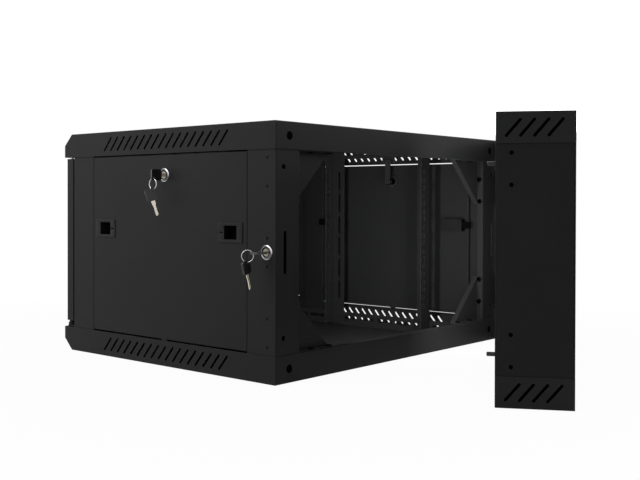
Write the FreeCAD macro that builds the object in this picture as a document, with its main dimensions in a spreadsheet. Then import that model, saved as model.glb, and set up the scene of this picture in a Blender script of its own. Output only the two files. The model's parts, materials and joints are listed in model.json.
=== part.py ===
import FreeCAD, Part
import math
import os
from types import SimpleNamespace

import Sketcher

# Double-section 19 inch wall cabinet, 6 units high.
# Frame: +Z up, the main section's front faces -Y, its right side is +X, and the
# origin is the centre of its base. The section that is fixed to the wall is
# hinged at the main section's left rear corner and stands open by rest_opening.

SIZES = {
    # envelope of the two sections
    "width": 600,
    "depth": 500,
    "height": 368,
    "section_depth": 97,
    "section_gap": 1,
    "rest_opening": 29.65,
    # sheet steel
    "sheet": 1.5,
    "rail_sheet": 2,
    "bend_round": 1.2,
    # top and bottom covers
    "skirt": 39,
    "nose_drop": 20,
    "nose_run": 21,
    "rear_lip": 12,
    "vent_width": 4,
    "vent_inset": 10,
    "vent_rise": 20,
    "vent_lean": 17,
    "vent_pitch": 17.1,
    "vent_count": 17,
    "vent_start": 114,
    "end_vent_count": 4,
    "end_vent_start": 13,
    "plug_hole_radius": 6.25,
    "plug_inset": 28,
    "plug_drop": 20,
    "plug_flange": 2,
    "plug_sink": 0.6,
    "entry_width": 260,
    "entry_depth": 50,
    "entry_inset": 60,
    "fan_bore_radius": 57,
    "fan_spacing": 105,
    "fan_hole_radius": 2.2,
    "fan_forward": 20,
    "guard_size": 124,
    "guard_slot": 4,
    "guard_pitch": 8,
    "guard_rows": 13,
    "guard_reach": 96,
    "entry_overlap": 10,
    # posts
    "post_side": 56,
    "post_rear": 48.5,
    "post_return": 11,
    "post_front": 20,
    "post_fold": 9,
    "pin_hole_radius": 3.8,
    "pin_inset": 17.5,
    "pin_rise": 120,
    "hook_slot_width": 6.5,
    "hook_slot_length": 61,
    "hook_slot_inset": 20.5,
    "rivet_radius": 2.2,
    "rivet_head": 0.3,
    "rivet_inset": 18,
    "rivet_near": 20,
    "rivet_low": 93,
    "rivet_high": 133,
    # corner gussets of the rear opening
    "gusset_leg": 78,
    "gusset_lip": 9,
    "gusset_screw_first": 34,
    "gusset_screw_pitch": 40,
    # inner rails
    "rack_opening": 451,
    "rack_hole_inset": 7.05,
    "rack_face": 29,
    "rack_web": 27,
    "rack_unit": 44.45,
    "rack_units": 6,
    "rack_hole": 9.5,
    "rack_end": 4,
    "front_rail_back": 357,
    "rear_rail_back": 120,
    "web_slot_length": 38,
    "web_slot_width": 7,
    "side_rail_height": 26,
    "side_rail_foot": 18,
    "side_slot_pitch": 44,
    "side_slot_count": 9,
    # side panels
    "panel_gap": 2,
    "panel_clear": 0.4,
    "panel_fold": 8,
    "panel_tab": 12,
    "lock_drop": 31.5,
    "keeper_width": 30,
    "keeper_drop": 36,
    # cylinder locks
    "dish_radius": 11,
    "dish_height": 2.4,
    "barrel_radius": 8.5,
    "barrel_length": 18,
    "barrel_clear": 0.2,
    "plug_radius": 5.5,
    "plug_recess": 1,
    "run_clear": 0.05,
    "nut_flats": 22,
    "nut_height": 4,
    "cam_width": 12,
    "cam_sheet": 2.4,
    "cam_reach": 42,
    "hook_reach": 34,
    "rear_lock_inset": 19,
    # keys
    "blade_width": 6,
    "blade_sheet": 1.6,
    "blade_length": 9,
    "key_standoff": 7,
    "bow_length": 19,
    "bow_width": 17,
    "bow_sheet": 3.2,
    "bow_hole_radius": 2.2,
    "bow_hole_inset": 3.4,
    "eye_play": 0.9,
    "ring_radius": 8.2,
    "ring_wire": 0.7,
    "ring_lean": 30,
    "ring_heading": 49,
    "spare_blade": 24,
    "spare_tilt": 18,
    "spare_turn": 9,
    "side_spare_turn": 20,
    # finger latches
    "latch_length": 50,
    "latch_height": 30,
    "latch_flange": 1.3,
    "latch_inset": 33,
    "latch_rise": 26,
    "latch_body_trim": 3,
    "latch_body_depth": 12.5,
    "latch_wall": 1.6,
    "recess_length": 26,
    "recess_height": 20,
    "latch_travel": 7,
    "tongue_width": 13,
    "tongue_sheet": 2.4,
    "tongue_catch": 6,
    "finger_sheet": 2.6,
    "slide_clear": 0.3,
    # front door
    "door_recess": 6,
    "door_thickness": 17,
    "door_gap": 2,
    "door_side_gap": 1,
    "door_top_gap": 2.5,
    "door_bottom_gap": 11,
    "door_border": 58,
    "door_rim": 40,
    "glass_sheet": 4,
    "glass_overlap": 6,
    "retainer_wrap": 4,
    "hinge_inset": 6,
    "hinge_set": 11,
    "hinge_pin_radius": 2.5,
    "bracket_sheet": 2,
    "bracket_width": 22,
    "bracket_leaf": 7,
    "bracket_set": 0.5,
    "collar_radius": 4.5,
    "door_lock_inset": 34,
    "door_cam_reach": 30,
    "seal_width": 6,
    "seal_clear": 0.5,
    "spacer_radius": 6,
    "spacer_height": 5,
    # hinge of the two sections
    "leaf_height": 64,
    "leaf_sheet": 2,
    "leaf_width": 34,
    "leaf_rise": 96,
    "knuckle_radius": 4,
    "knuckle_clear": 0.3,
    "rod_inset": 1,
    # wall section
    "end_front": 48.5,
    "end_back": 30,
    "end_lap": 6,
    "end_hole_radius": 3,
    "end_hole_inset": 19.5,
    "end_hole_low": 51,
    "end_hole_high": 91,
    "locating_radius": 2.75,
    "locating_length": 12,
    "cable_width": 360,
    "cable_height": 150,
    "fixing_span": 480,
    "fixing_rise": 220,
    "keyhole_radius": 6.5,
    "keyhole_slot_radius": 3.5,
    "keyhole_drop": 14,
    # fasteners
    "screw_radius": 4.5,
    "screw_head": 2.2,
}

doc = FreeCAD.newDocument("wall_mount_network_cabinet")
cells = doc.addObject("Spreadsheet::Sheet", "Sizes")
for row, (alias, number) in enumerate(SIZES.items(), start=1):
    cells.set("A%d" % row, alias)
    cells.set("B%d" % row, str(number))
    cells.setAlias("B%d" % row, alias)
doc.recompute()


class Size:
    """A length that keeps both its number and its spreadsheet expression."""

    def __init__(self, text, number):
        self.text = text
        self.number = float(number)

    def __add__(self, other):
        other = sized(other)
        return Size("(%s + %s)" % (self.text, other.text), self.number + other.number)

    def __sub__(self, other):
        other = sized(other)
        return Size("(%s - %s)" % (self.text, other.text), self.number - other.number)

    def __mul__(self, other):
        other = sized(other)
        return Size("(%s * %s)" % (self.text, other.text), self.number * other.number)

    def __truediv__(self, other):
        other = sized(other)
        return Size("(%s / %s)" % (self.text, other.text), self.number / other.number)

    def __radd__(self, other):
        return sized(other) + self

    def __rsub__(self, other):
        return sized(other) - self

    def __rmul__(self, other):
        return sized(other) * self

    def __neg__(self):
        return self * -1


def sized(value):
    if isinstance(value, Size):
        return value
    return Size("(%r)" % float(value), value)


s = SimpleNamespace(**{alias: Size("Sizes." + alias, number) for alias, number in SIZES.items()})
t = s.sheet
LEFT, RIGHT = -1, 1
FRONT, REAR = -1, 1
BOTTOM, TOP = -1, 1
OVERCUT = 1.0
FLUSH = 0.01                                           # two faces closer than this are one
LONG_EDGE = 10                                         # shorter edges are left sharp
UNIT_HOLES = (1 / 7, 1 / 2, 6 / 7)                     # square holes in each rack unit
HEX_CORNER = math.cos(math.radians(30))                # half flats over corner radius
NOSE_MITRE = math.tan(math.radians(22.5))              # inset of the inner corner at the sloped nose


def bind(thing, path, value):
    thing.setExpression(path, sized(value).text)


def cosine(angle):
    return Size("cos(%s * 1deg)" % angle.text, math.cos(math.radians(angle.number)))


def sine(angle):
    return Size("sin(%s * 1deg)" % angle.text, math.sin(math.radians(angle.number)))


def move(thing, x, y, z):
    for letter, value in zip("xyz", (x, y, z)):
        bind(thing, "Placement.Base." + letter, value)
    return thing


# ---------------------------------------------------------------- sketches

def polygon(points):
    """A closed outline through the points."""
    def draw(sketch):
        first = sketch.GeometryCount
        vectors = [FreeCAD.Vector(sized(x).number, sized(y).number, 0) for x, y in points]
        for start, end in zip(vectors, vectors[1:] + vectors[:1]):
            sketch.addGeometry(Part.LineSegment(start, end))
        for index in range(len(points)):
            after = (index + 1) % len(points)
            sketch.addConstraint(Sketcher.Constraint("Coincident", first + index, 2, first + after, 1))
        for index, (x, y) in enumerate(points):
            fix_point(sketch, first + index, 1, x, y)
    return draw


def rectangle(low_x, low_y, high_x, high_y):
    return polygon([(low_x, low_y), (high_x, low_y), (high_x, high_y), (low_x, high_y)])


def circle(x, y, radius):
    def draw(sketch):
        centre = FreeCAD.Vector(sized(x).number, sized(y).number, 0)
        axis = FreeCAD.Vector(0, 0, 1)
        index = sketch.addGeometry(Part.Circle(centre, axis, sized(radius).number))
        fix_point(sketch, index, 3, x, y)
        fix_radius(sketch, index, radius)
    return draw


def obround(start, end, radius):
    """A slot with round ends, centred on the line from start to end."""
    def draw(sketch):
        a = FreeCAD.Vector(sized(start[0]).number, sized(start[1]).number, 0)
        b = FreeCAD.Vector(sized(end[0]).number, sized(end[1]).number, 0)
        along = (b - a).normalize()
        turn = FreeCAD.Vector(along.y, -along.x, 0) * sized(radius).number
        ahead = along * sized(radius).number
        first = sketch.GeometryCount
        sketch.addGeometry(Part.LineSegment(a + turn, b + turn))
        sketch.addGeometry(Part.Arc(b + turn, b + ahead, b - turn))
        sketch.addGeometry(Part.LineSegment(b - turn, a - turn))
        sketch.addGeometry(Part.Arc(a - turn, a - ahead, a + turn))
        for index in range(4):
            pair = (first + index, first + (index + 1) % 4)
            sketch.addConstraint(Sketcher.Constraint("Tangent", pair[0], 2, pair[1], 1))
        fix_point(sketch, first + 1, 3, *end)
        fix_point(sketch, first + 3, 3, *start)
        fix_radius(sketch, first + 1, radius)
    return draw


def fix_point(sketch, geometry, point, x, y):
    for kind, value in (("DistanceX", x), ("DistanceY", y)):
        value = sized(value)
        rule = Sketcher.Constraint(kind, -1, 1, geometry, point, value.number)
        bind(sketch, "Constraints[%d]" % sketch.addConstraint(rule), value)


def fix_radius(sketch, geometry, radius):
    rule = Sketcher.Constraint("Radius", geometry, sized(radius).number)
    bind(sketch, "Constraints[%d]" % sketch.addConstraint(rule), radius)


def folded(path, thickness, side=1):
    """The outline of bent sheet: the path, and the path set over by the thickness."""
    numbers = [(sized(x).number, sized(y).number) for x, y in path]
    normals = []
    for (x0, y0), (x1, y1) in zip(numbers, numbers[1:]):
        length = abs(x1 - x0) + abs(y1 - y0)
        normals.append((-side * (y1 - y0) / length, side * (x1 - x0) / length))
    inner = []
    for index, (x, y) in enumerate(path):
        around = normals[max(index - 1, 0):index + 1]
        if len(around) == 2 and around[0] == around[1]:
            around = around[:1]
        shift_x = round(sum(n[0] for n in around))
        shift_y = round(sum(n[1] for n in around))
        inner.append((x + shift_x * thickness, y + shift_y * thickness))
    return polygon(list(path) + inner[::-1])


# ------------------------------------------------------------------ solids

class Pressing:
    """A PartDesign body made of pads and pockets between two planes."""

    NORMAL = {"XY": 1, "XZ": -1, "YZ": 1}

    def __init__(self, name):
        self.body = doc.addObject("PartDesign::Body", name + "_body")
        self.last = None

    def sketch(self, plane, start, drawings):
        sketch = self.body.newObject("Sketcher::SketchObject", "Outline")
        support = [f for f in self.body.Origin.OriginFeatures if f.Role == plane + "_Plane"]
        sketch.AttachmentSupport = [(support[0], "")]
        sketch.MapMode = "FlatFace"
        bind(sketch, "AttachmentOffset.Base.z", self.NORMAL[plane] * sized(start))
        for draw in drawings:
            draw(sketch)
        return sketch

    def pad(self, plane, low, high, *drawings):
        pad = self.body.newObject("PartDesign::Pad", "Pad")
        pad.Profile = self.sketch(plane, low, drawings)
        pad.Reversed = self.NORMAL[plane] < 0
        bind(pad, "Length", sized(high) - low)
        self.body.Tip = pad
        self.last = pad
        doc.recompute()
        return self

    def cut(self, plane, low, high, *drawings):
        before = self.body.Shape.Volume
        pocket = self.body.newObject("PartDesign::Pocket", "Pocket")
        pocket.Profile = self.sketch(plane, low, drawings)
        pocket.Reversed = self.NORMAL[plane] > 0
        bind(pocket, "Length", sized(high) - low)
        self.body.Tip = pocket
        self.last = pocket
        doc.recompute()
        if not self.body.Shape.Volume < before:
            raise ValueError("%s: a pocket removes nothing" % self.body.Name)
        return self

    def repeat(self, letter, pitch, count):
        """Repeat the last feature along an axis; a minus sign runs it backwards."""
        axis = [f for f in self.body.Origin.OriginFeatures if f.Role == letter[-1] + "_Axis"]
        pattern = self.body.newObject("PartDesign::LinearPattern", "Row")
        pattern.Originals = [self.last]
        pattern.Direction = (axis[0], [""])
        pattern.Reversed = letter.startswith("-")
        bind(pattern, "Length", pitch * (sized(count) - 1))
        bind(pattern, "Occurrences", count)
        self.body.Tip = pattern
        doc.recompute()
        return self

    def round_off(self, radius, wanted):
        """Round the edges whose bounding box passes the wanted test."""
        names = []
        for index, edge in enumerate(self.body.Shape.Edges, start=1):
            if wanted(edge.BoundBox):
                names.append("Edge%d" % index)
        fillet = self.body.newObject("PartDesign::Fillet", "Round")
        fillet.Base = (self.body.Tip if self.last is None else self.last, names)
        bind(fillet, "Radius", radius)
        self.body.Tip = fillet
        self.last = fillet
        doc.recompute()
        return self


def upright_at(*places):
    """Tests whether an edge is vertical and stands at one of the places."""
    spots = [(sized(x).number, sized(y).number) for x, y in places]
    return lambda b: b.ZLength > LONG_EDGE and b.XLength < FLUSH and b.YLength < FLUSH and any(
        abs(b.XMin - x) < FLUSH and abs(b.YMin - y) < FLUSH for x, y in spots)


def box(low, high):
    block = doc.addObject("Part::Box", "Block")
    for name, a, b in zip(("Length", "Width", "Height"), low, high):
        bind(block, name, sized(b) - a)
    return move(block, *low)


def turned(axis, centre, low, high, radius, kind="Part::Cylinder", tip=None):
    """A cylinder (or a cone with a tip radius) along X, Y or Z from low to high."""
    solid = doc.addObject(kind, "Turned")
    if kind == "Part::Cone":
        bind(solid, "Radius1", radius)
        bind(solid, "Radius2", tip)
    else:
        bind(solid, "Radius", radius)
    bind(solid, "Height", sized(high) - low)
    place = {"X": (low, centre[0], centre[1]), "Y": (centre[0], low, centre[1]), "Z": (*centre, low)}
    tilt = {"X": ((0, 1, 0), 90), "Y": ((1, 0, 0), -90), "Z": ((0, 0, 1), 0)}
    turn, angle = tilt[axis]
    solid.Placement = FreeCAD.Placement(FreeCAD.Vector(), FreeCAD.Rotation(FreeCAD.Vector(*turn), angle))
    return move(solid, *place[axis])


def hexagon(axis, centre, low, high, flats):
    prism = doc.addObject("Part::Prism", "Hexagon")
    prism.Polygon = 6
    bind(prism, "Circumradius", flats / 2 / HEX_CORNER)
    bind(prism, "Height", sized(high) - low)
    tilt = {"X": ((0, 1, 0), 90), "Y": ((1, 0, 0), -90)}
    place = {"X": (low, centre[0], centre[1]), "Y": (centre[0], low, centre[1])}
    turn, angle = tilt[axis]
    prism.Placement = FreeCAD.Placement(FreeCAD.Vector(), FreeCAD.Rotation(FreeCAD.Vector(*turn), angle))
    return move(prism, *place[axis])


def shapes(things):
    return [thing.body if isinstance(thing, Pressing) else thing for thing in things]


def fused(*things):
    if len(things) == 1:
        return things[0]
    union = doc.addObject("Part::MultiFuse", "Union")
    union.Shapes = shapes(things)
    return union


def minus(base, *tools):
    cut = doc.addObject("Part::Cut", "Difference")
    cut.Base = shapes([base])[0]
    cut.Tool = fused(*tools)
    return cut


def group(*things):
    """Separate solids that make up one node."""
    bundle = doc.addObject("Part::Compound", "Group")
    bundle.Links = shapes(things)
    return bundle


NODES = []


def node(name, thing, on_wall=False):
    """Name a finished piece; a piece of the wall section is turned to its open pose."""
    thing = shapes([thing])[0]
    thing.Label = name
    if on_wall:
        swing_open(thing)
    NODES.append(thing)
    return thing


# ------------------------------------------------------- shared positions

half = s.width / 2
back = s.depth / 2
middle = s.height / 2
skin = half - t                                        # outer face of posts and panels
post_back = back - t                                   # rear face of the rear posts
door_front = s.door_recess - back
door_back = door_front + s.door_thickness
post_face = door_back + s.door_gap                     # front face of the front posts
section_front = back + s.section_gap
section_back = section_front + s.section_depth
hinge_x = -skin - s.knuckle_radius
hinge_y = back + s.section_gap / 2
panel_rear = post_back - s.post_side - s.panel_clear
panel_front = post_face + s.post_side + s.panel_clear
panel_low = s.skirt + s.panel_gap
panel_high = s.height - s.skirt - s.panel_gap
panel_middle = (panel_rear + panel_front) / 2


def pose(thing, base, *turns):
    """Place a piece at base after the turns, which act from the last to the first."""
    spot = "vector(%s; %s; %s)" % tuple(sized(value).text for value in base)
    spin = " * ".join("rotation%s(%s)" % (letter, sized(angle).text) for letter, angle in turns)
    thing.setExpression("Placement", "placement(%s; %s)" % (spot, spin))
    return thing


def swing_open(thing):
    """Turn a piece of the closed wall section about the section hinge."""
    thing.Placement = FreeCAD.Placement(FreeCAD.Vector(), FreeCAD.Rotation(FreeCAD.Vector(0, 0, 1), 1))
    flat, rise = 1 - cosine(s.rest_opening), sine(s.rest_opening)
    bind(thing, "Placement.Base.x", hinge_x * flat + hinge_y * rise)
    bind(thing, "Placement.Base.y", hinge_y * flat - hinge_x * rise)
    bind(thing, "Placement.Rotation.Angle", s.rest_opening)


def height_at(level, inset):
    """The height that lies inset from the outer face of the top or bottom cover."""
    return s.height - inset if level == TOP else sized(inset)


def ordered(a, b):
    """Two places, the lower one first."""
    return tuple(sorted((sized(a), sized(b)), key=lambda place: place.number))


# ------------------------------------------------------ covers of the main section

def main_cover(level):
    name = "top_cover" if level == TOP else "bottom_cover"
    z = lambda inset: height_at(level, inset)
    slope = t * NOSE_MITRE
    cover = Pressing(name)
    cover.pad("YZ", -half, half, polygon([
        (back, z(0)), (back, z(s.skirt)), (-back, z(s.skirt)),
        (-back, z(s.nose_drop)), (s.nose_run - back, z(0))]))
    cover.round_off(s.bend_round, lambda b: b.XLength > s.width.number - 1 and abs(
        (b.ZMin if level == TOP else s.height.number - b.ZMin) - s.height.number) < FLUSH
        or b.ZLength > LONG_EDGE and b.XLength < FLUSH and b.YLength < FLUSH)
    cover.cut("YZ", t - half, half - t, polygon([
        (back - t, z(t)), (back - t, z(s.skirt + OVERCUT)), (t - back, z(s.skirt + OVERCUT)),
        (t - back, z(s.nose_drop + slope)), (s.nose_run + slope - back, z(t))]))
    lip = ordered(z(s.skirt), z(s.skirt - t))
    lip_x = skin - s.post_rear
    cover.pad("XY", lip[0], lip[1], rectangle(-lip_x, back - s.rear_lip, lip_x, back - t / 2))
    low, high = ordered(z(s.vent_inset), z(s.vent_inset + s.vent_rise))
    for side in (RIGHT, LEFT):
        first = side * (back - s.vent_start)
        wall = ordered(side * (half - t - OVERCUT), side * (half + OVERCUT))
        cover.cut("YZ", wall[0], wall[1],
                  obround((first, low), (first + side * s.vent_lean, high), s.vent_width / 2))
        cover.repeat("-Y" if side == RIGHT else "Y", s.vent_pitch, s.vent_count)
    cover.cut("XZ", back - t - OVERCUT, back + OVERCUT, *[
        circle(side * (half - s.plug_inset), z(s.plug_drop), s.plug_hole_radius)
        for side in (LEFT, RIGHT)])
    entry_back = back - s.entry_inset
    if level == TOP:
        keeper = skin - s.barrel_length - s.slide_clear
        for side in (LEFT, RIGHT):
            wall = ordered(side * (keeper + s.slide_clear), side * (keeper + s.slide_clear + s.rail_sheet))
            cover.pad("YZ", wall[0], wall[1], rectangle(
                panel_middle - s.keeper_width / 2, z(s.keeper_drop), panel_middle + s.keeper_width / 2, z(t)))
    plate = ordered(z(-OVERCUT), z(t + OVERCUT))
    openings = [rectangle(-s.entry_width / 2, entry_back - s.entry_depth, s.entry_width / 2, entry_back)]
    if level == TOP:
        openings.append(circle(0, -s.fan_forward, s.fan_bore_radius))
        for x in (-s.fan_spacing / 2, s.fan_spacing / 2):
            for y in (-s.fan_spacing / 2, s.fan_spacing / 2):
                openings.append(circle(x, y - s.fan_forward, s.fan_hole_radius))
    cover.cut("XY", plate[0], plate[1], *openings)
    node(name, cover)


# ------------------------------------------------------------------ posts

def rear_post(side):
    x = lambda inset: side * (skin - inset)
    name = "rear_post_right" if side == RIGHT else "rear_post_left"
    post = Pressing(name)
    edge = post_back - s.post_side
    path = [(x(s.post_fold), edge), (x(0), edge), (x(0), post_back),
            (x(s.post_rear), post_back), (x(s.post_rear), post_back - s.post_return)]
    post.pad("XY", t, s.height - t, folded(path, t, side))
    post.round_off(s.bend_round, upright_at(*path[1:4]))
    through = (post_back - t - OVERCUT, post_back + OVERCUT)
    hole_x = side * (half - s.pin_inset)
    slot_x = side * (half - s.hook_slot_inset)
    slot_half = (s.hook_slot_length - s.hook_slot_width) / 2
    post.cut("XZ", *through,
             circle(hole_x, middle - s.pin_rise, s.pin_hole_radius),
             circle(hole_x, middle + s.pin_rise, s.pin_hole_radius),
             *[circle(side * (half - s.plug_inset), height_at(level, s.plug_drop), s.plug_hole_radius)
               for level in (TOP, BOTTOM)],
             obround((slot_x, middle - slot_half), (slot_x, middle + slot_half), s.hook_slot_width / 2))
    if side == RIGHT:
        post.cut("YZ", skin - t - OVERCUT, skin + OVERCUT,
                 circle(back - s.rear_lock_inset, middle, s.barrel_radius + s.barrel_clear))
    node(name, post)


def front_post(side):
    x = lambda inset: side * (skin - inset)
    name = "front_post_right" if side == RIGHT else "front_post_left"
    post = Pressing(name)
    edge = post_face + s.post_side
    path = [(x(s.post_fold), edge), (x(0), edge), (x(0), post_face), (x(s.post_front), post_face)]
    post.pad("XY", t, s.height - t, folded(path, t, -side))
    post.round_off(s.bend_round, upright_at(*path[1:3]))
    node(name, post)


# -------------------------------------------------- gussets of the rear opening

def gusset(side, level):
    x = lambda inset: side * (skin - s.post_rear - inset)
    z = lambda inset: height_at(level, s.skirt + inset)
    face = back - s.rear_lip
    leg = s.gusset_leg
    plate = Pressing("gusset")
    plate.pad("XZ", face - t, face, polygon([(x(0), z(0)), (x(leg), z(0)), (x(0), z(leg))]))
    plate.pad("XZ", face - s.gusset_lip, face, polygon([
        (x(leg - 2 * t), z(0)), (x(leg), z(0)), (x(0), z(leg)), (x(0), z(leg - 2 * t))]))
    tab = ordered(x(0), x(t))
    rise = ordered(z(0), z(leg))
    plate.pad("YZ", tab[0], tab[1], rectangle(face - t, rise[0], post_back - t, rise[1]))
    foot = ordered(z(0), z(t))
    reach = ordered(x(0), x(leg))
    plate.pad("YZ", reach[0], reach[1], rectangle(face - t, foot[0], post_back - t, foot[1]))
    return plate


# --------------------------------------------------------------- inner rails

def side_rail(side, level):
    inner = s.rack_opening / 2 + s.rack_face
    z = lambda inset: height_at(level, t + inset)
    rail = Pressing("side_rail")
    path = [(side * (inner + s.side_rail_foot), z(0)), (side * inner, z(0)), (side * inner, z(s.side_rail_height))]
    rail.pad("XZ", post_face + t, post_back - t, folded(path, t, side * level))
    centre = z(s.side_rail_height / 2 + t)
    first = panel_rear - s.side_slot_pitch / 2
    wall = ordered(side * (inner - OVERCUT), side * (inner + t + OVERCUT))
    reach = s.web_slot_length - s.web_slot_width
    rail.cut("YZ", wall[0], wall[1], obround((first - reach, centre), (first, centre), s.web_slot_width / 2))
    rail.repeat("-Y", s.side_slot_pitch, s.side_slot_count)
    return rail


def rack_rail(side, end):
    name = "rack_rail_%s_%s" % ("rear" if end == REAR else "front", "right" if side == RIGHT else "left")
    inner = s.rack_opening / 2
    outer = inner + s.rack_face
    face = back - (s.rear_rail_back if end == REAR else s.front_rail_back)
    web_end = face - end * s.rack_web
    rail = Pressing(name)
    low, high = t + s.rack_end, s.height - t - s.rack_end
    path = [(side * inner, face), (side * outer, face), (side * outer, web_end)]
    rail.pad("XY", low, high, folded(path, s.rail_sheet, -side * end))
    rail.round_off(s.bend_round, upright_at(path[1]))
    faces = ordered(face + end * OVERCUT, face - end * (s.rail_sheet + OVERCUT))
    column = side * (inner + s.rack_hole_inset)
    start = middle - s.rack_unit * s.rack_units / 2
    square = s.rack_hole / 2
    holes = []
    for step in UNIT_HOLES:
        z = start + s.rack_unit * step
        holes.append(rectangle(column - square, z - square, column + square, z + square))
    rail.cut("XZ", faces[0], faces[1], *holes)
    rail.repeat("Z", s.rack_unit, s.rack_units)
    web = ordered(side * (outer - s.rail_sheet - OVERCUT), side * (outer + OVERCUT))
    line = face - end * (s.rack_web / 2 + s.rail_sheet / 2)
    reach = s.web_slot_length - s.web_slot_width
    bottom = start + (s.rack_unit - reach) / 2
    rail.cut("YZ", web[0], web[1], obround((line, bottom), (line, bottom + reach), s.web_slot_width / 2))
    rail.repeat("Z", s.rack_unit, s.rack_units)
    node(name, rail)


# --------------------------------------------------------------- side panels

latch_half = s.latch_length / 2
latch_z = middle + s.latch_rise
lock_z = panel_high - s.lock_drop


def latch_y(end):
    """Centre of the finger latch near the panel's rear or front edge."""
    return panel_rear - s.latch_inset if end == REAR else panel_front + s.latch_inset


def side_panel(side):
    name = "side_panel_right" if side == RIGHT else "side_panel_left"
    x = lambda inset: side * (skin - inset)
    outer = ordered(x(0), x(s.panel_fold))
    panel = Pressing(name)
    panel.pad("YZ", outer[0], outer[1], rectangle(panel_front, panel_low, panel_rear, panel_high))
    face = x(0).number
    panel.round_off(s.bend_round, lambda b: b.XLength < FLUSH and abs(b.XMin - face) < FLUSH)
    hollow = ordered(x(t), x(s.panel_fold + OVERCUT))
    panel.cut("YZ", hollow[0], hollow[1],
              rectangle(panel_front + t, panel_low + t, panel_rear - t, panel_high - t))
    wall = ordered(x(0), x(t))
    tab = s.panel_tab / 2
    panel.pad("YZ", wall[0], wall[1],
              rectangle(panel_middle - tab, panel_low - s.panel_tab, panel_middle + tab, panel_low + t))
    cut_y = latch_half - s.latch_body_trim + s.slide_clear
    cut_z = s.latch_height / 2 - s.latch_body_trim + s.slide_clear
    through = ordered(x(-OVERCUT), x(t + OVERCUT))
    panel.cut("YZ", through[0], through[1],
              circle(panel_middle, lock_z, s.barrel_radius + s.barrel_clear),
              *[rectangle(latch_y(end) - cut_y, latch_z - cut_z, latch_y(end) + cut_y, latch_z + cut_z)
                for end in (REAR, FRONT)])
    node(name, panel)


def finger_latch(side, end):
    """A housing with a finger recess, and the sprung slider that catches behind the post."""
    tag = "%s_%s" % ("rear" if end == REAR else "front", "right" if side == RIGHT else "left")
    x = lambda inset: side * (skin - inset)
    y = lambda along: latch_y(end) + end * along
    trim = s.latch_body_trim
    deep = t + s.latch_body_depth
    housing = Pressing("latch_housing")
    rim = ordered(x(-s.latch_flange), x(0))
    housing.pad("YZ", rim[0], rim[1], rectangle(
        latch_y(end) - latch_half, latch_z - s.latch_height / 2,
        latch_y(end) + latch_half, latch_z + s.latch_height / 2))
    shell = ordered(x(0), x(deep))
    housing.pad("YZ", shell[0], shell[1], rectangle(
        latch_y(end) - latch_half + trim, latch_z - s.latch_height / 2 + trim,
        latch_y(end) + latch_half - trim, latch_z + s.latch_height / 2 - trim))
    mouth_z = s.recess_height / 2
    mouth = ordered(y(-s.recess_length / 2), y(s.recess_length / 2))
    opening = ordered(x(-s.latch_flange - OVERCUT), x(deep - s.latch_wall))
    housing.cut("YZ", opening[0], opening[1],
                rectangle(mouth[0], latch_z - mouth_z, mouth[1], latch_z + mouth_z))
    # the hidden pocket that the finger wall backs into, under the rim's wide bar
    pocket_end = -s.recess_length / 2 - s.latch_travel - s.slide_clear
    pocket = ordered(y(pocket_end), y(0))
    under = ordered(x(t), x(deep - s.latch_wall))
    housing.cut("YZ", under[0], under[1],
                rectangle(pocket[0], latch_z - mouth_z, pocket[1], latch_z + mouth_z))
    slit_half = s.tongue_width / 2 + s.slide_clear
    slit = ordered(x(deep - s.latch_wall - s.tongue_sheet - 2 * s.slide_clear), x(deep - s.latch_wall))
    way = ordered(y(0), y(latch_half))
    housing.cut("YZ", slit[0], slit[1], rectangle(way[0], latch_z - slit_half, way[1], latch_z + slit_half))
    # the slider: floor plate, finger wall and tongue
    floor = ordered(x(deep - s.latch_wall - s.slide_clear), x(deep - s.latch_wall - s.slide_clear - s.tongue_sheet))
    wall_y = -s.recess_length / 2
    tongue_end = s.latch_inset + s.panel_clear + t + s.tongue_catch
    plate = ordered(y(wall_y), y(tongue_end))
    slider = Pressing("latch_slider_" + tag)
    slider.pad("YZ", floor[0], floor[1], rectangle(
        plate[0], latch_z - s.tongue_width / 2, plate[1], latch_z + s.tongue_width / 2))
    lift = ordered(x(deep - s.latch_wall - s.slide_clear - s.tongue_sheet), x(t + s.slide_clear))
    finger = ordered(y(wall_y), y(wall_y + s.finger_sheet))
    slider.pad("YZ", lift[0], lift[1], rectangle(
        finger[0], latch_z - mouth_z + s.slide_clear, finger[1], latch_z + mouth_z - s.slide_clear))
    node("latch_slider_" + tag, slider)
    return housing


# ------------------------------------------------------------ cylinder locks

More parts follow.
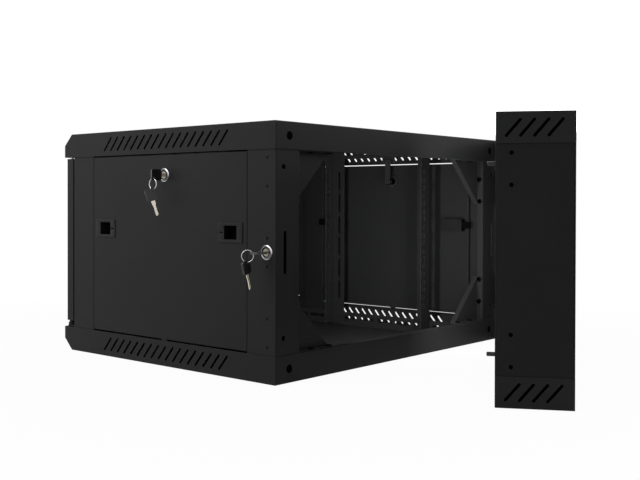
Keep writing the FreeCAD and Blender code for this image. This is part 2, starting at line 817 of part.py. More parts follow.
def lock_set(tag, axis, out, face, centre, reach, length, hook=False):
    """The barrel that stays put, its nut, and the plug with a cam that points up."""
    run = lambda a, b: ordered(face + out * sized(a), face + out * sized(b))
    dish = turned(axis, centre, *run(0, s.dish_height), s.dish_radius)
    sleeve = turned(axis, centre, *run(-length, s.dish_height / 2), s.barrel_radius)
    bore = turned(axis, centre, *run(-length - OVERCUT, s.dish_height + OVERCUT), s.plug_radius + s.run_clear)
    barrel = minus(fused(dish, sleeve), bore)
    nut_run = run(-t - s.nut_height, -t)
    nut_bore = turned(axis, centre, nut_run[0] - OVERCUT, nut_run[1] + OVERCUT, s.barrel_radius)
    nut = minus(hexagon(axis, centre, *nut_run, s.nut_flats), nut_bore)
    cam_run = run(-length - s.slide_clear - s.cam_sheet, -length - s.slide_clear)
    plug = turned(axis, centre, *run(-length - s.slide_clear, s.dish_height - s.plug_recess), s.plug_radius)
    thin, wide = s.blade_sheet / 2 + s.run_clear, s.blade_width / 2 + s.run_clear
    if hook:
        thin, wide = wide, thin
    keyway = across(axis, centre, run(-s.blade_length - s.run_clear, s.dish_height), thin, (wide, wide))
    half_arm = s.cam_width / 2
    arm = across(axis, centre, cam_run, half_arm, (half_arm, reach))
    if hook:
        # the hook's throat takes the two sheets it closes on
        throat = s.rear_lock_inset
        arm = minus(arm, box((cam_run[0] - OVERCUT, centre[0] - half_arm - OVERCUT, centre[1] + throat - 2 * t),
                             (cam_run[1] + OVERCUT, centre[0], centre[1] + throat + 3 * t + s.section_gap)))
    screw_run = run(-length - s.slide_clear - s.cam_sheet - s.screw_head, -length - s.slide_clear - s.cam_sheet)
    screw = turned(axis, centre, *screw_run, s.screw_radius)
    node("lock_plug_" + tag, minus(plug, keyway))
    node("lock_cam_" + tag, group(arm, screw))
    return barrel, nut


def across(axis, centre, faces, half_wide, reach):
    """A flat block between two planes across the axis; reach is how far it goes down and up."""
    low = (centre[0] - half_wide, centre[1] - reach[0])
    high = (centre[0] + half_wide, centre[1] + reach[1])
    if axis == "X":
        return box((faces[0], *low), (faces[1], *high))
    return box((low[0], faces[0], low[1]), (high[0], faces[1], high[1]))


# ---------------------------------------------------------------------- keys

def key_bow(corner_x, corner_z, inward_x, inward_z):
    """A flat bow in the XZ plane with its eye near one corner."""
    low_x, high_x = ordered(corner_x, corner_x + inward_x)
    low_z, high_z = ordered(corner_z, corner_z + inward_z)
    thick = s.bow_sheet / 2
    plate = box((low_x, -thick, low_z), (high_x, thick, high_z))
    eye_x = corner_x + s.bow_hole_inset * (1 if sized(inward_x).number > 0 else -1)
    eye_z = corner_z + s.bow_hole_inset * (1 if sized(inward_z).number > 0 else -1)
    eye = turned("Y", (eye_x, eye_z), -thick - OVERCUT, thick + OVERCUT, s.bow_hole_radius)
    return minus(plate, eye)


def key_in_lock(tag, centre, turn):
    """A key pushed into the plug; turn is the lock's angle about X, 0 with the bow upright."""
    base = (skin, centre[0], centre[1])
    bow = key_bow(s.key_standoff + s.bow_length, -s.bow_width / 2, -s.bow_length, s.bow_width)
    thin, wide = s.blade_sheet / 2, s.blade_width / 2
    blade = group(box((-s.blade_length, -thin, -wide), (s.key_standoff, thin, wide)))
    node("key_bow_" + tag, pose(bow, base, ("x", turn)))
    node("key_blade_" + tag, pose(blade, base, ("x", turn)))


def key_ring(tag, centre, *turns):
    ring = doc.addObject("Part::Torus", "Ring")
    bind(ring, "Radius1", s.ring_radius)
    bind(ring, "Radius2", s.ring_wire)
    node("key_ring_" + tag, pose(ring, centre, *turns))


def spare_key(tag, eye, *turns):
    """A key that hangs from its eye."""
    inset = s.bow_hole_inset
    bow = key_bow(-inset, inset, s.bow_width, -s.bow_length)
    stem_x = s.bow_width / 2 - inset
    top = inset - s.bow_length
    thin, wide = s.blade_sheet / 2, s.blade_width / 2
    stem = box((stem_x - wide, -thin, top - s.spare_blade), (stem_x + wide, thin, top))
    node("spare_key_" + tag, pose(group(bow, stem), eye, *turns))


def key_sets():
    reach = skin + s.key_standoff + s.bow_length - s.bow_hole_inset
    drop = s.bow_width / 2 - s.bow_hole_inset
    # side lock: the bow stands upright, and the ring hangs straight below its eye
    key_in_lock("side", (panel_middle, lock_z), 0)
    wire_z = lock_z - drop - s.eye_play
    key_ring("side", (reach, panel_middle, wire_z - s.ring_radius), ("y", 90))
    spare_key("side", (reach, panel_middle, wire_z - 2 * s.ring_radius - s.eye_play),
              ("z", -s.side_spare_turn), ("y", s.spare_tilt))
    # rear lock: the bow lies flat, and the ring leans out from the eye at its corner
    lock_y = back - s.rear_lock_inset
    key_in_lock("rear", (lock_y, middle), -90)
    out = cosine(s.ring_lean) * s.ring_radius
    fall = sine(s.ring_lean) * s.ring_radius
    ring_x = reach + out * cosine(s.ring_heading)
    ring_y = lock_y - drop - out * sine(s.ring_heading)
    key_ring("rear", (ring_x, ring_y, middle - fall), ("z", -s.ring_heading), ("x", 90))
    spare_key("rear", (ring_x, ring_y, middle - fall - s.ring_radius),
              ("z", s.spare_turn), ("y", s.spare_tilt))


# ----------------------------------------------------------------- front door

door_side = half - s.door_side_gap
door_low = s.skirt + s.door_bottom_gap
door_high = s.height - s.skirt - s.door_top_gap
door_axis = (door_side - s.hinge_inset, door_back - s.hinge_set)
window_x = door_side - s.door_border
window_low, window_high = door_low + s.door_rim, door_high - s.door_rim
glass_front = door_front + t
glass_back = glass_front + s.glass_sheet
door_lock = (s.door_lock_inset - door_side, middle)


def framed(margin):
    """The window's rectangle, enlarged by a margin on every side."""
    return rectangle(-window_x - margin, window_low - margin, window_x + margin, window_high + margin)


def front_door():
    frame = Pressing("door_frame")
    frame.pad("XZ", door_front, door_back, rectangle(-door_side, door_low, door_side, door_high))
    frame.round_off(s.bend_round, lambda b: b.YLength < FLUSH and abs(b.YMin - door_front.number) < FLUSH)
    frame.cut("XZ", glass_front, door_back + OVERCUT,
              rectangle(t - door_side, door_low + t, door_side - t, door_high - t))
    frame.cut("XZ", door_front - OVERCUT, glass_front + OVERCUT, framed(0),
              circle(*door_lock, s.barrel_radius + s.barrel_clear))
    pivot = circle(*door_axis, s.hinge_pin_radius + s.run_clear)
    frame.cut("XY", door_low - OVERCUT, door_high + OVERCUT, pivot)
    node("door_frame", frame)
    glass = s.glass_overlap
    pane = box((-window_x - glass, glass_front, window_low - glass),
               (window_x + glass, glass_back, window_high + glass))
    node("door_glass", pane)
    retainer = Pressing("glass_retainer")
    retainer.pad("XZ", glass_front, glass_back + t, framed(glass + s.retainer_wrap))
    retainer.cut("XZ", glass_front - OVERCUT, glass_back, framed(glass))
    retainer.cut("XZ", glass_front, glass_back + t + OVERCUT, framed(0))
    node("glass_retainer", retainer)
    length = s.door_thickness + s.door_gap + t + s.slide_clear
    node("lock_barrel_door", group(*lock_set("door", "Y", FRONT, door_front, door_lock,
                                             s.door_cam_reach, length)))
    collar = turned("Z", door_axis, door_high - t - s.bracket_leaf, door_high - t, s.collar_radius)
    pin_top = s.height - s.skirt + s.bracket_set + s.bracket_sheet
    pin = turned("Z", door_axis, door_high - t - s.bracket_leaf, pin_top, s.hinge_pin_radius)
    node("door_hinge_pin_top", fused(collar, pin))


def hinge_brackets():
    """The brackets on the front right post; the lower one has a stepped spacer and a pin."""
    x_low, x_high = skin - s.bracket_width - t, skin - t
    reach = door_axis[1] - s.spacer_radius
    solids = []
    for level in (TOP, BOTTOM):
        low = height_at(level, s.skirt) + s.bracket_set
        top = low + s.bracket_sheet
        plate = box((x_low, reach, low), (x_high, post_face, top))
        leaf = box((x_low, post_face - t, top), (x_high, post_face, top + s.bracket_leaf))
        bracket = fused(plate, leaf)
        if level == TOP:
            hole = turned("Z", door_axis, low - OVERCUT, top + OVERCUT, s.hinge_pin_radius + s.run_clear)
            solids.append(minus(bracket, hole))
        else:
            spacer = turned("Z", door_axis, top, top + s.spacer_height, s.spacer_radius)
            step = turned("Z", door_axis, top, door_low - s.slide_clear, s.spacer_radius - t)
            pin = turned("Z", door_axis, top, door_low + s.bracket_leaf, s.hinge_pin_radius)
            solids.append(fused(bracket, spacer, step, pin))
    node("door_hinge_brackets", group(*solids))


def door_seal():
    inner = skin - s.post_front
    strips = []
    for side in (LEFT, RIGHT):
        x = ordered(side * (inner + s.seal_clear), side * (inner + s.seal_clear + s.seal_width))
        strips.append(box((x[0], post_face - s.door_gap + s.seal_clear, door_low + t),
                          (x[1], post_face, door_high - t)))
    node("door_seal", group(*strips))


# ---------------------------------------------------------------- small parts

def frame_screws():
    """Pan heads on the gussets' tabs, and flush rivet heads on the lock post's side."""
    heads = []
    face = back - s.rear_lip
    for side in (LEFT, RIGHT):
        for level in (TOP, BOTTOM):
            for step in (0, 1):
                along = s.gusset_screw_first + step * s.gusset_screw_pitch
                flange = side * (skin - s.post_rear - t)
                spot = (face + s.rear_lip / 2 - t, height_at(level, s.skirt + along))
                heads.append(turned("X", spot, *ordered(flange, flange - side * s.screw_head), s.screw_radius))
                foot = height_at(level, s.skirt + t)
                spot = (side * (skin - s.post_rear - along), face + s.rear_lip / 2 - t)
                heads.append(turned("Z", spot, *ordered(foot, foot - level * s.screw_head), s.screw_radius))
    for rise in (s.rivet_near, s.rivet_low, s.rivet_high):
        for sign in (BOTTOM, TOP):
            spot = (back - s.rivet_inset, middle + sign * rise)
            heads.append(turned("X", spot, skin, skin + s.rivet_head, s.rivet_radius))
    node("frame_screws", group(*heads))


def corner_plugs():
    plugs = []
    for side in (LEFT, RIGHT):
        for level in (TOP, BOTTOM):
            spot = (side * (half - s.plug_inset), height_at(level, s.plug_drop))
            inside = post_back - t
            body = turned("Y", spot, inside - s.plug_flange, back - s.plug_sink,
                          s.plug_hole_radius - s.run_clear)
            flange = turned("Y", spot, inside - s.plug_flange, inside, s.plug_hole_radius + t)
            plugs.append(fused(body, flange))
    node("corner_plugs", group(*plugs))


def entry_plates():
    plates = []
    edge = s.entry_overlap
    for level in (TOP, BOTTOM):
        z = ordered(height_at(level, t), height_at(level, 2 * t))
        plates.append(box(
            (-s.entry_width / 2 - edge, back - s.entry_inset - s.entry_depth - edge, z[0]),
            (s.entry_width / 2 + edge, back - s.entry_inset + edge, z[1])))
    node("cable_entry_plates", group(*plates))


def fan_guard():
    guard = Pressing("fan_guard")
    side = s.guard_size / 2
    low, high = s.height - 2 * t, s.height - t
    centre_y = -s.fan_forward
    guard.pad("XY", low, high, rectangle(-side, centre_y - side, side, centre_y + side))
    reach = s.fan_spacing / 2
    guard.cut("XY", low - OVERCUT, high + OVERCUT, *[
        circle(x, centre_y + y, s.fan_hole_radius) for x in (-reach, reach) for y in (-reach, reach)])
    first = centre_y - s.guard_pitch * (s.guard_rows - 1) / 2
    run = (s.guard_reach - s.guard_slot) / 2
    guard.cut("XY", low - OVERCUT, high + OVERCUT,
              obround((-run, first), (run, first), s.guard_slot / 2))
    guard.repeat("Y", s.guard_pitch, s.guard_rows)
    node("fan_guard", guard)


# ------------------------------------------------------------ wall section

def wall_cover(level):
    z = lambda inset: height_at(level, inset)
    name = "wall_top_cover" if level == TOP else "wall_bottom_cover"
    cover = Pressing(name)
    full = ordered(z(0), z(s.skirt))
    cover.pad("YZ", -half, half, rectangle(section_front, full[0], section_back, full[1]))
    cover.round_off(s.bend_round, lambda b: b.XLength > s.width.number - 1 and abs(
        b.YMin - section_front.number) < FLUSH and abs(b.ZMin - z(0).number) < FLUSH
        or b.ZLength > LONG_EDGE and b.YLength < FLUSH and abs(b.YMin - section_front.number) < FLUSH)
    inner = ordered(z(t), z(s.skirt + OVERCUT))
    cover.cut("YZ", t - half, half - t,
              rectangle(section_front + t, inner[0], section_back + OVERCUT, inner[1]))
    low, high = ordered(z(s.vent_inset), z(s.vent_inset + s.vent_rise))
    for side in (RIGHT, LEFT):
        first = section_front + s.end_vent_start if side == RIGHT else section_back - s.end_vent_start
        wall = ordered(side * (half - t - OVERCUT), side * (half + OVERCUT))
        cover.cut("YZ", wall[0], wall[1],
                  obround((first, low), (first + side * s.vent_lean, high), s.vent_width / 2))
        cover.repeat("Y" if side == RIGHT else "-Y", s.vent_pitch, s.end_vent_count)
    node(name, cover, on_wall=True)


def wall_end(side):
    x = lambda inset: side * (skin - inset)
    front, rear = section_front + t, section_back - t
    end = Pressing("wall_end")
    path = [(x(s.end_front), front + s.post_return), (x(s.end_front), front), (x(0), front),
            (x(0), rear), (x(s.end_back), rear)]
    end.pad("XY", t, s.height - t, folded(path, t, side))
    end.round_off(s.bend_round, upright_at(*path[1:4]))
    notch = ordered(x(-OVERCUT), x(t + OVERCUT))
    window = s.skirt - s.end_lap
    for level in (TOP, BOTTOM):
        edge = ordered(height_at(level, t - OVERCUT), height_at(level, window))
        end.cut("YZ", notch[0], notch[1], rectangle(front + t, edge[0], rear - t, edge[1]))
    holes = []
    for rise in (s.end_hole_low, s.end_hole_high):
        for level in (TOP, BOTTOM):
            holes.append(circle(section_front + s.end_hole_inset, height_at(level, rise), s.end_hole_radius))
    wall = ordered(x(-OVERCUT), x(t + OVERCUT))
    end.cut("YZ", wall[0], wall[1], *holes)
    if side == RIGHT:
        slot_x = half - s.hook_slot_inset
        slot_half = (s.hook_slot_length - s.hook_slot_width) / 2
        end.cut("XZ", front - OVERCUT, front + t + OVERCUT,
                obround((slot_x, middle - slot_half), (slot_x, middle + slot_half), s.hook_slot_width / 2))
    node("wall_end_right" if side == RIGHT else "wall_end_left", end, on_wall=True)


def wall_back_plate():
    plate = Pressing("wall_back_plate")
    plate.pad("XZ", section_back - t, section_back, rectangle(t - half, t, half - t, s.height - t))
    openings = [rectangle(-s.cable_width / 2, middle - s.cable_height / 2,
                          s.cable_width / 2, middle + s.cable_height / 2)]
    plate.cut("XZ", section_back - t - OVERCUT, section_back + OVERCUT, *openings)
    for x in (-s.fixing_span / 2, s.fixing_span / 2):
        for z in (middle - s.fixing_rise / 2, middle + s.fixing_rise / 2):
            plate.cut("XZ", section_back - t - OVERCUT, section_back + OVERCUT,
                      circle(x, z - s.keyhole_drop, s.keyhole_radius))
            plate.cut("XZ", section_back - t - OVERCUT, section_back + OVERCUT,
                      obround((x, z - s.keyhole_drop), (x, z), s.keyhole_slot_radius))
    node("wall_back_plate", plate, on_wall=True)


def locating_pins():
    pins = []
    face = section_front + t
    for sign in (BOTTOM, TOP):
        spot = (half - s.pin_inset, middle + sign * s.pin_rise)
        tip = face - s.locating_length
        nose = t / 2
        pins.append(fused(turned("Y", spot, tip + nose, face, s.locating_radius),
                          turned("Y", spot, tip, tip + nose, s.locating_radius - nose, "Part::Cone",
                                 s.locating_radius)))
    node("locating_pins", group(*pins), on_wall=True)


def section_hinges():
    """Two butt hinges outside the left rear corner, on one rod from skirt to skirt."""
    axis = (hinge_x, hinge_y)
    third = s.leaf_height / 3
    leaf_x = (-skin - s.leaf_sheet, -skin)
    clear = s.knuckle_clear
    radius = s.knuckle_radius / 2
    main_leaves, wall_leaves = [], []
    for sign in (BOTTOM, TOP):
        low = middle + sign * s.leaf_rise - s.leaf_height / 2
        for toward, leaves in ((-1, main_leaves), (1, wall_leaves)):
            near = hinge_y + toward * (s.knuckle_radius + clear)
            far = hinge_y + toward * s.leaf_width
            y = ordered(near, far)
            pieces = [box((leaf_x[0], y[0], low), (leaf_x[1], y[1], low + s.leaf_height))]
            spans = [(low, low + third), (low + 2 * third, low + 3 * third)]
            if toward > 0:
                spans = [(low + third + clear, low + 2 * third - clear)]
            for start, end in spans:
                arm = ordered(hinge_y, near)
                pieces.append(box((leaf_x[0], arm[0], start), (leaf_x[1], arm[1], end)))
                pieces.append(turned("Z", axis, start, end, s.knuckle_radius))
            bore = turned("Z", axis, low - OVERCUT, low + s.leaf_height + OVERCUT, radius + s.run_clear)
            leaves.append(minus(fused(*pieces), bore))
    ends = (s.skirt + s.rod_inset, s.height - s.skirt - s.rod_inset)
    main_leaves.append(fused(turned("Z", axis, ends[0], ends[1], radius),
                             turned("Z", axis, ends[0], ends[0] + t, s.knuckle_radius - clear),
                             turned("Z", axis, ends[1] - t, ends[1], s.knuckle_radius - clear)))
    node("section_hinge_leaves_main", group(*main_leaves))
    node("section_hinge_leaves_wall", group(*wall_leaves), on_wall=True)


def build_main_section():
    for level in (TOP, BOTTOM):
        name = "top" if level == TOP else "bottom"
        main_cover(level)
        node("rear_gussets_" + name, group(*[gusset(side, level) for side in (RIGHT, LEFT)]))
        node("side_rails_" + name, group(*[side_rail(side, level) for side in (RIGHT, LEFT)]))
    for side in (RIGHT, LEFT):
        rear_post(side)
        front_post(side)
        side_panel(side)
        for end in (REAR, FRONT):
            rack_rail(side, end)
    node("latch_housings", group(*[finger_latch(side, end) for side in (RIGHT, LEFT) for end in (REAR, FRONT)]))
    nuts = []
    rear_centre = (back - s.rear_lock_inset, middle)
    side_centre = (panel_middle, lock_z)
    for tag, side, centre, reach, hook in (("side_right", RIGHT, side_centre, s.cam_reach, False),
                                           ("side_left", LEFT, side_centre, s.cam_reach, False),
                                           ("rear", RIGHT, rear_centre, s.hook_reach, True)):
        barrel, nut = lock_set(tag, "X", side, side * skin, centre, reach, s.barrel_length, hook)
        node("lock_barrel_" + tag, barrel)
        nuts.append(nut)
    node("lock_nuts", group(*nuts))
    key_sets()
    hinge_brackets()
    door_seal()
    frame_screws()
    corner_plugs()
    entry_plates()
    fan_guard()


def build_wall_section():
    for level in (TOP, BOTTOM):
        wall_cover(level)
    for side in (RIGHT, LEFT):
        wall_end(side)
    wall_back_plate()
    locating_pins()
    section_hinges()


build_main_section()
front_door()
build_wall_section()

doc.recompute()
faults = [thing.Label for thing in doc.Objects if "Invalid" in thing.State or "Error" in thing.State]
faults += [thing.Label for thing in NODES if thing.Shape.isNull() or not thing.Shape.isValid()]
if faults:
    raise ValueError("failed pieces: " + ", ".join(faults))

os.makedirs("parts", exist_ok=True)
for thing in NODES:
    thing.Shape.exportStep("parts/%s.step" % thing.Label)
    print("%-32s %2d solids %10.0f mm3" % (thing.Label, len(thing.Shape.Solids), thing.Shape.Volume))
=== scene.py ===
"""Looks of the double-section wall cabinet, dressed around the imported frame."""
import json
import math

import bmesh
import bpy
from mathutils import Matrix, Vector


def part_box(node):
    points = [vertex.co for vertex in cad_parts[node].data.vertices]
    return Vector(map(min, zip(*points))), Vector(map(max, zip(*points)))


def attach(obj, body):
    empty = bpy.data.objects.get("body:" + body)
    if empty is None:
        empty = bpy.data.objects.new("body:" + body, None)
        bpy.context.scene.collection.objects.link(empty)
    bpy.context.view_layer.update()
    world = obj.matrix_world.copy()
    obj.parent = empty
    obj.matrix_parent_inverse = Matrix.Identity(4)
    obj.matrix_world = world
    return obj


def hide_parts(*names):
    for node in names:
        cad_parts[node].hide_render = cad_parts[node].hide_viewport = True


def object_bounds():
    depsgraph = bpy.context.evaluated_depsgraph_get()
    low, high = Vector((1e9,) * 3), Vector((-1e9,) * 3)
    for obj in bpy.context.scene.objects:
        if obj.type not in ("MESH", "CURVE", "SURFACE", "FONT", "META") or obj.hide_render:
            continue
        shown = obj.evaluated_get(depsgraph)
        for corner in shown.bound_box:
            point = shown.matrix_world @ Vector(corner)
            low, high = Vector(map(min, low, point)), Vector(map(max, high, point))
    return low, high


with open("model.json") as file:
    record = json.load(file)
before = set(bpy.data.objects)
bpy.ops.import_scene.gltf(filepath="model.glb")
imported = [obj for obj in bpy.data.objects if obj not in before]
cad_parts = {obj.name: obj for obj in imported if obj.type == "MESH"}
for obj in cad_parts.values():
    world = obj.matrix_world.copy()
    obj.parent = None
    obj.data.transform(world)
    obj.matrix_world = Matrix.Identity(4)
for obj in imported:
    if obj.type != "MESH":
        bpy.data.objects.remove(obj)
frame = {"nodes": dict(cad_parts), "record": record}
cad_low, cad_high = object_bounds()
NODES = frame["nodes"]
MM = 0.001


# ------------------------------------------------------------------ camera

CAMERA_AT = (1.25688, 1.15267, 0.25906)
CAMERA_TURN, CAMERA_DIP, CAMERA_ROLL = 220.6748, 0.6, 0.1287       # degrees
CAMERA_LENS, CAMERA_SHIFT = 53.498, -0.04864                       # on a sensor 36 mm wide


def set_camera():
    """Looks at the cabinet from behind on its right, at the height of its upper half."""
    turn, dip, roll = (math.radians(angle) for angle in (CAMERA_TURN, CAMERA_DIP, CAMERA_ROLL))
    forward = Vector((math.cos(turn) * math.cos(dip), math.sin(turn) * math.cos(dip),
                      -math.sin(dip)))
    right = Vector((math.sin(turn), -math.cos(turn), 0))
    up = right.cross(forward)
    right, up = (math.cos(roll) * right + math.sin(roll) * up,
                 math.cos(roll) * up - math.sin(roll) * right)
    data = bpy.data.cameras.new("camera")
    data.sensor_width = 36
    data.lens = CAMERA_LENS
    data.shift_y = CAMERA_SHIFT
    data.clip_start, data.clip_end = 0.05, 50
    camera = bpy.data.objects.new("camera", data)
    bpy.context.scene.collection.objects.link(camera)
    axes = Matrix((right, up, -forward)).transposed().to_4x4()
    camera.matrix_world = Matrix.Translation(CAMERA_AT) @ axes
    bpy.context.scene.camera = camera


set_camera()


# ----------------------------------------------------------- material helpers

def new_material(name):
    """A node material, with its tree and its main shader."""
    material = bpy.data.materials.new(name)
    material.use_nodes = True
    tree = material.node_tree
    return material, tree, tree.nodes["Principled BSDF"]


def object_place(tree):
    """Object coordinates, from one node for the whole tree."""
    for node in tree.nodes:
        if node.bl_idname == "ShaderNodeTexCoord":
            return node.outputs["Object"]
    return tree.nodes.new("ShaderNodeTexCoord").outputs["Object"]


def noise(tree, scale, detail=3, roughness=0.5):
    """Noise over the object, mostly between 0.3 and 0.7."""
    node = tree.nodes.new("ShaderNodeTexNoise")
    node.inputs["Scale"].default_value = scale
    node.inputs["Detail"].default_value = detail
    node.inputs["Roughness"].default_value = roughness
    tree.links.new(object_place(tree), node.inputs["Vector"])
    return node.outputs["Fac"]


def spread(tree, value, low, high, start=0.3, end=0.7):
    """Maps a value from start..end to low..high."""
    node = tree.nodes.new("ShaderNodeMapRange")
    node.inputs["From Min"].default_value = start
    node.inputs["From Max"].default_value = end
    node.inputs["To Min"].default_value = low
    node.inputs["To Max"].default_value = high
    tree.links.new(value, node.inputs["Value"])
    return node.outputs["Result"]


def calculated(tree, operation, *values):
    """The result of a math node fed from other nodes' outputs."""
    node = tree.nodes.new("ShaderNodeMath")
    node.operation = operation
    for value, socket in zip(values, node.inputs):
        tree.links.new(value, socket)
    return node.outputs[0]


def blend_colours(tree, factor, dark, light):
    """A mix of two colours, each given as numbers or as another node's output."""
    node = tree.nodes.new("ShaderNodeMix")
    node.data_type = "RGBA"
    for name, colour in (("A", dark), ("B", light)):
        socket = next(item for item in node.inputs if item.name == name and item.type == "RGBA")
        if isinstance(colour, bpy.types.NodeSocket):
            tree.links.new(colour, socket)
        else:
            socket.default_value = (*colour, 1)
    tree.links.new(factor, node.inputs["Factor"])
    return next(item for item in node.outputs if item.type == "RGBA")


def bump(tree, height, shader, strength, distance):
    """Fine relief in the shader's normal."""
    node = tree.nodes.new("ShaderNodeBump")
    node.inputs["Strength"].default_value = strength
    node.inputs["Distance"].default_value = distance
    tree.links.new(height, node.inputs["Height"])
    tree.links.new(node.outputs["Normal"], shader.inputs["Normal"])


def facing_share(tree, direction):
    """How far the surface's normal agrees with a direction, 1 where they are the same."""
    surface = tree.nodes.new("ShaderNodeNewGeometry")
    node = tree.nodes.new("ShaderNodeVectorMath")
    node.operation = "DOT_PRODUCT"
    tree.links.new(surface.outputs["Normal"], node.inputs[0])
    if isinstance(direction, bpy.types.NodeSocket):
        tree.links.new(direction, node.inputs[1])
    else:
        node.inputs[1].default_value = direction
    return node.outputs["Value"]


def edge_mask(tree, radius, start, end):
    """1 along sharp edges, from how far a bevelled normal turns from the surface's own."""
    bevel = tree.nodes.new("ShaderNodeBevel")
    bevel.samples = 4
    bevel.inputs["Radius"].default_value = radius
    return spread(tree, facing_share(tree, bevel.outputs["Normal"]), 1, 0, end, start)


def set_roughness(tree, shader, grain, rough):
    """Roughness that varies with a grain around its mean."""
    tree.links.new(spread(tree, grain, rough * 0.85, rough * 1.15), shader.inputs["Roughness"])


# --------------------------------------------------------------- materials

def powder_coat(name, dark, light, edge_highlight):
    """Fine-grained satin paint, a little uneven in tone and gloss, with a lighter tone painted along
    its sharp edges as a highlight.
    """
    material, tree, shader = new_material(name)
    grain = noise(tree, scale=2600, roughness=0.6)
    cloud = noise(tree, scale=9)
    paint = blend_colours(tree, spread(tree, cloud, 0, 1), dark, light)
    # painted highlight: a lighter tone along sharp edges, for the light that edges catch
    edges = edge_mask(tree, radius=0.0007, start=0.995, end=0.84)
    tree.links.new(blend_colours(tree, edges, paint, edge_highlight), shader.inputs["Base Color"])
    tree.links.new(spread(tree, grain, low=0.41, high=0.52), shader.inputs["Roughness"])
    shader.inputs["Specular IOR Level"].default_value = 0.06
    bump(tree, grain, shader, strength=0.22, distance=0.00012)
    return material


def plain(name, colour, rough, grain, metallic=0.0, relief=0.1, uneven=0.15, gloss=0.5):
    """A finish with a fine grain and slightly uneven tone and gloss."""
    material, tree, shader = new_material(name)
    fine = noise(tree, grain, roughness=0.6)
    cloud = noise(tree, scale=60)
    dark, light = ([share * (1 + change) for share in colour] for change in (-uneven, uneven))
    tree.links.new(blend_colours(tree, spread(tree, cloud, 0, 1), dark, light),
                   shader.inputs["Base Color"])
    set_roughness(tree, shader, fine, rough)
    shader.inputs["Metallic"].default_value = metallic
    shader.inputs["Specular IOR Level"].default_value = gloss
    bump(tree, fine, shader, relief, distance=0.0001)
    return material


def painted_reflection_plating(name, dark, light, direction, rough):
    """Bright plating, with dark and light reflection bands painted into its colour by which way the
    surface faces.
    """
    material, tree, shader = new_material(name)
    share = facing_share(tree, Vector(direction).normalized())
    # painted reflection: the colour goes from dark to light with the surface's direction
    painted_reflection_band = spread(tree, calculated(tree, "ABSOLUTE", share), 0, 1, start=0.22, end=0.72)
    tree.links.new(blend_colours(tree, painted_reflection_band, dark, light), shader.inputs["Base Color"])
    set_roughness(tree, shader, noise(tree, scale=300, roughness=0.6), rough)
    shader.inputs["Metallic"].default_value = 1.0
    return material


def tinted_glass(name, tint, haze):
    """Clear see-through glass with a light smoke tint and faint wipe marks."""
    material, tree, shader = new_material(name)
    smear = noise(tree, scale=14, detail=4, roughness=0.6)
    shader.inputs["Base Color"].default_value = (*tint, 1)
    tree.links.new(spread(tree, smear, haze, haze * 2.5), shader.inputs["Roughness"])
    shader.inputs["Transmission Weight"].default_value = 1.0
    shader.inputs["IOR"].default_value = 1.5
    return material


# the third tone of each coat is a highlight painted along its sharp edges
coat = powder_coat("powder_coat", dark=(0.0265, 0.0268, 0.0278), light=(0.0295, 0.0298, 0.0310),
                   edge_highlight=(0.066, 0.067, 0.069))
# painted light: a lighter copy of the same black powder coat, for the wall section's covers
coat_painted_lighter = powder_coat("powder_coat_painted_lighter", dark=(0.036, 0.0364, 0.0378),
                         light=(0.040, 0.0404, 0.042), edge_highlight=(0.085, 0.086, 0.089))
moulded = plain("moulded_plastic", (0.014, 0.014, 0.0146), rough=0.45,
                grain=1800, relief=0.12, gloss=0.12)
moulded_tub = plain("tub_plastic", (0.021, 0.021, 0.0218), rough=0.5,
                    grain=1800, relief=0.12, gloss=0.08)
moulded_key = plain("key_plastic", (0.019, 0.019, 0.0205), rough=0.28, grain=1200, relief=0.08)
# chrome with dark and light reflection bands painted into its colour
chrome = painted_reflection_plating("chrome_painted_reflections", dark=(0.10, 0.10, 0.105), light=(0.86, 0.86, 0.87),
                direction=(0.0, 0.5, 0.85), rough=0.09)
plug_metal = plain("plug_metal", (0.20, 0.18, 0.15), rough=0.26, metallic=1.0,
                   grain=500, relief=0.05)
nickel = plain("nickel_silver", (0.72, 0.67, 0.57), rough=0.24, metallic=1.0,
               grain=900, relief=0.06, uneven=0.06)
steel_wire = plain("bright_wire", (0.78, 0.78, 0.78), rough=0.20, metallic=1.0,
                   grain=900, relief=0.05, uneven=0.05)
zinc = plain("zinc_plate", (0.40, 0.41, 0.42), rough=0.36, metallic=1.0, grain=500, uneven=0.12)
coated_screw = plain("coated_screw", (0.007, 0.007, 0.0074), rough=0.40, grain=1500, gloss=0.03)
# painted shade: the zinc lock cams and nuts are drawn near-black, as they look in the cabinet's
# shade
cam_painted_shade = plain("steel_painted_dark_for_shade", (0.036, 0.036, 0.038), rough=0.42,
                  grain=500, uneven=0.12, gloss=0.3)
# painted shade: the metal locating pins are drawn near-black in place of their bright reflection
pin_painted_shade = plain("steel_painted_black_for_shade", (0.026, 0.026, 0.027), rough=0.40,
                  grain=500, relief=0.08, gloss=0.35)
# painted dark reflection: a near-black gloss for the funnels inside the lock dishes
well = plain("painted_dark_reflection_well", (0.006, 0.006, 0.0065), rough=0.22,
             grain=1500, relief=0.04, gloss=0.3)
# black rubber, also used as the near-black of the cups and blades that are painted shade
rubber_and_painted_shade = plain("black_rubber", (0.004, 0.004, 0.0043), rough=0.55,
               grain=1400, relief=0.15, gloss=0.0)
# painted shade: a near-black finish for the sheets behind the vent slots
vent_shade_black = plain("painted_vent_shade", (0.004, 0.004, 0.0042), rough=0.95,
                   grain=900, relief=0.6, uneven=0.2, gloss=0.0)
foam = plain("cell_foam", (0.012, 0.012, 0.012), rough=0.95,
             grain=900, relief=0.9, uneven=0.35, gloss=0.05)
smoked_glass = tinted_glass("smoked_glass", tint=(0.30, 0.31, 0.33), haze=0.02)

SLOT_FINISH = {"black_coat": coat, "zinc_steel": zinc, "chrome": chrome, "nickel": nickel,
               "black_plastic": moulded, "smoked_glass": smoked_glass, "black_rubber": rubber_and_painted_shade,
               "black_foam": foam}
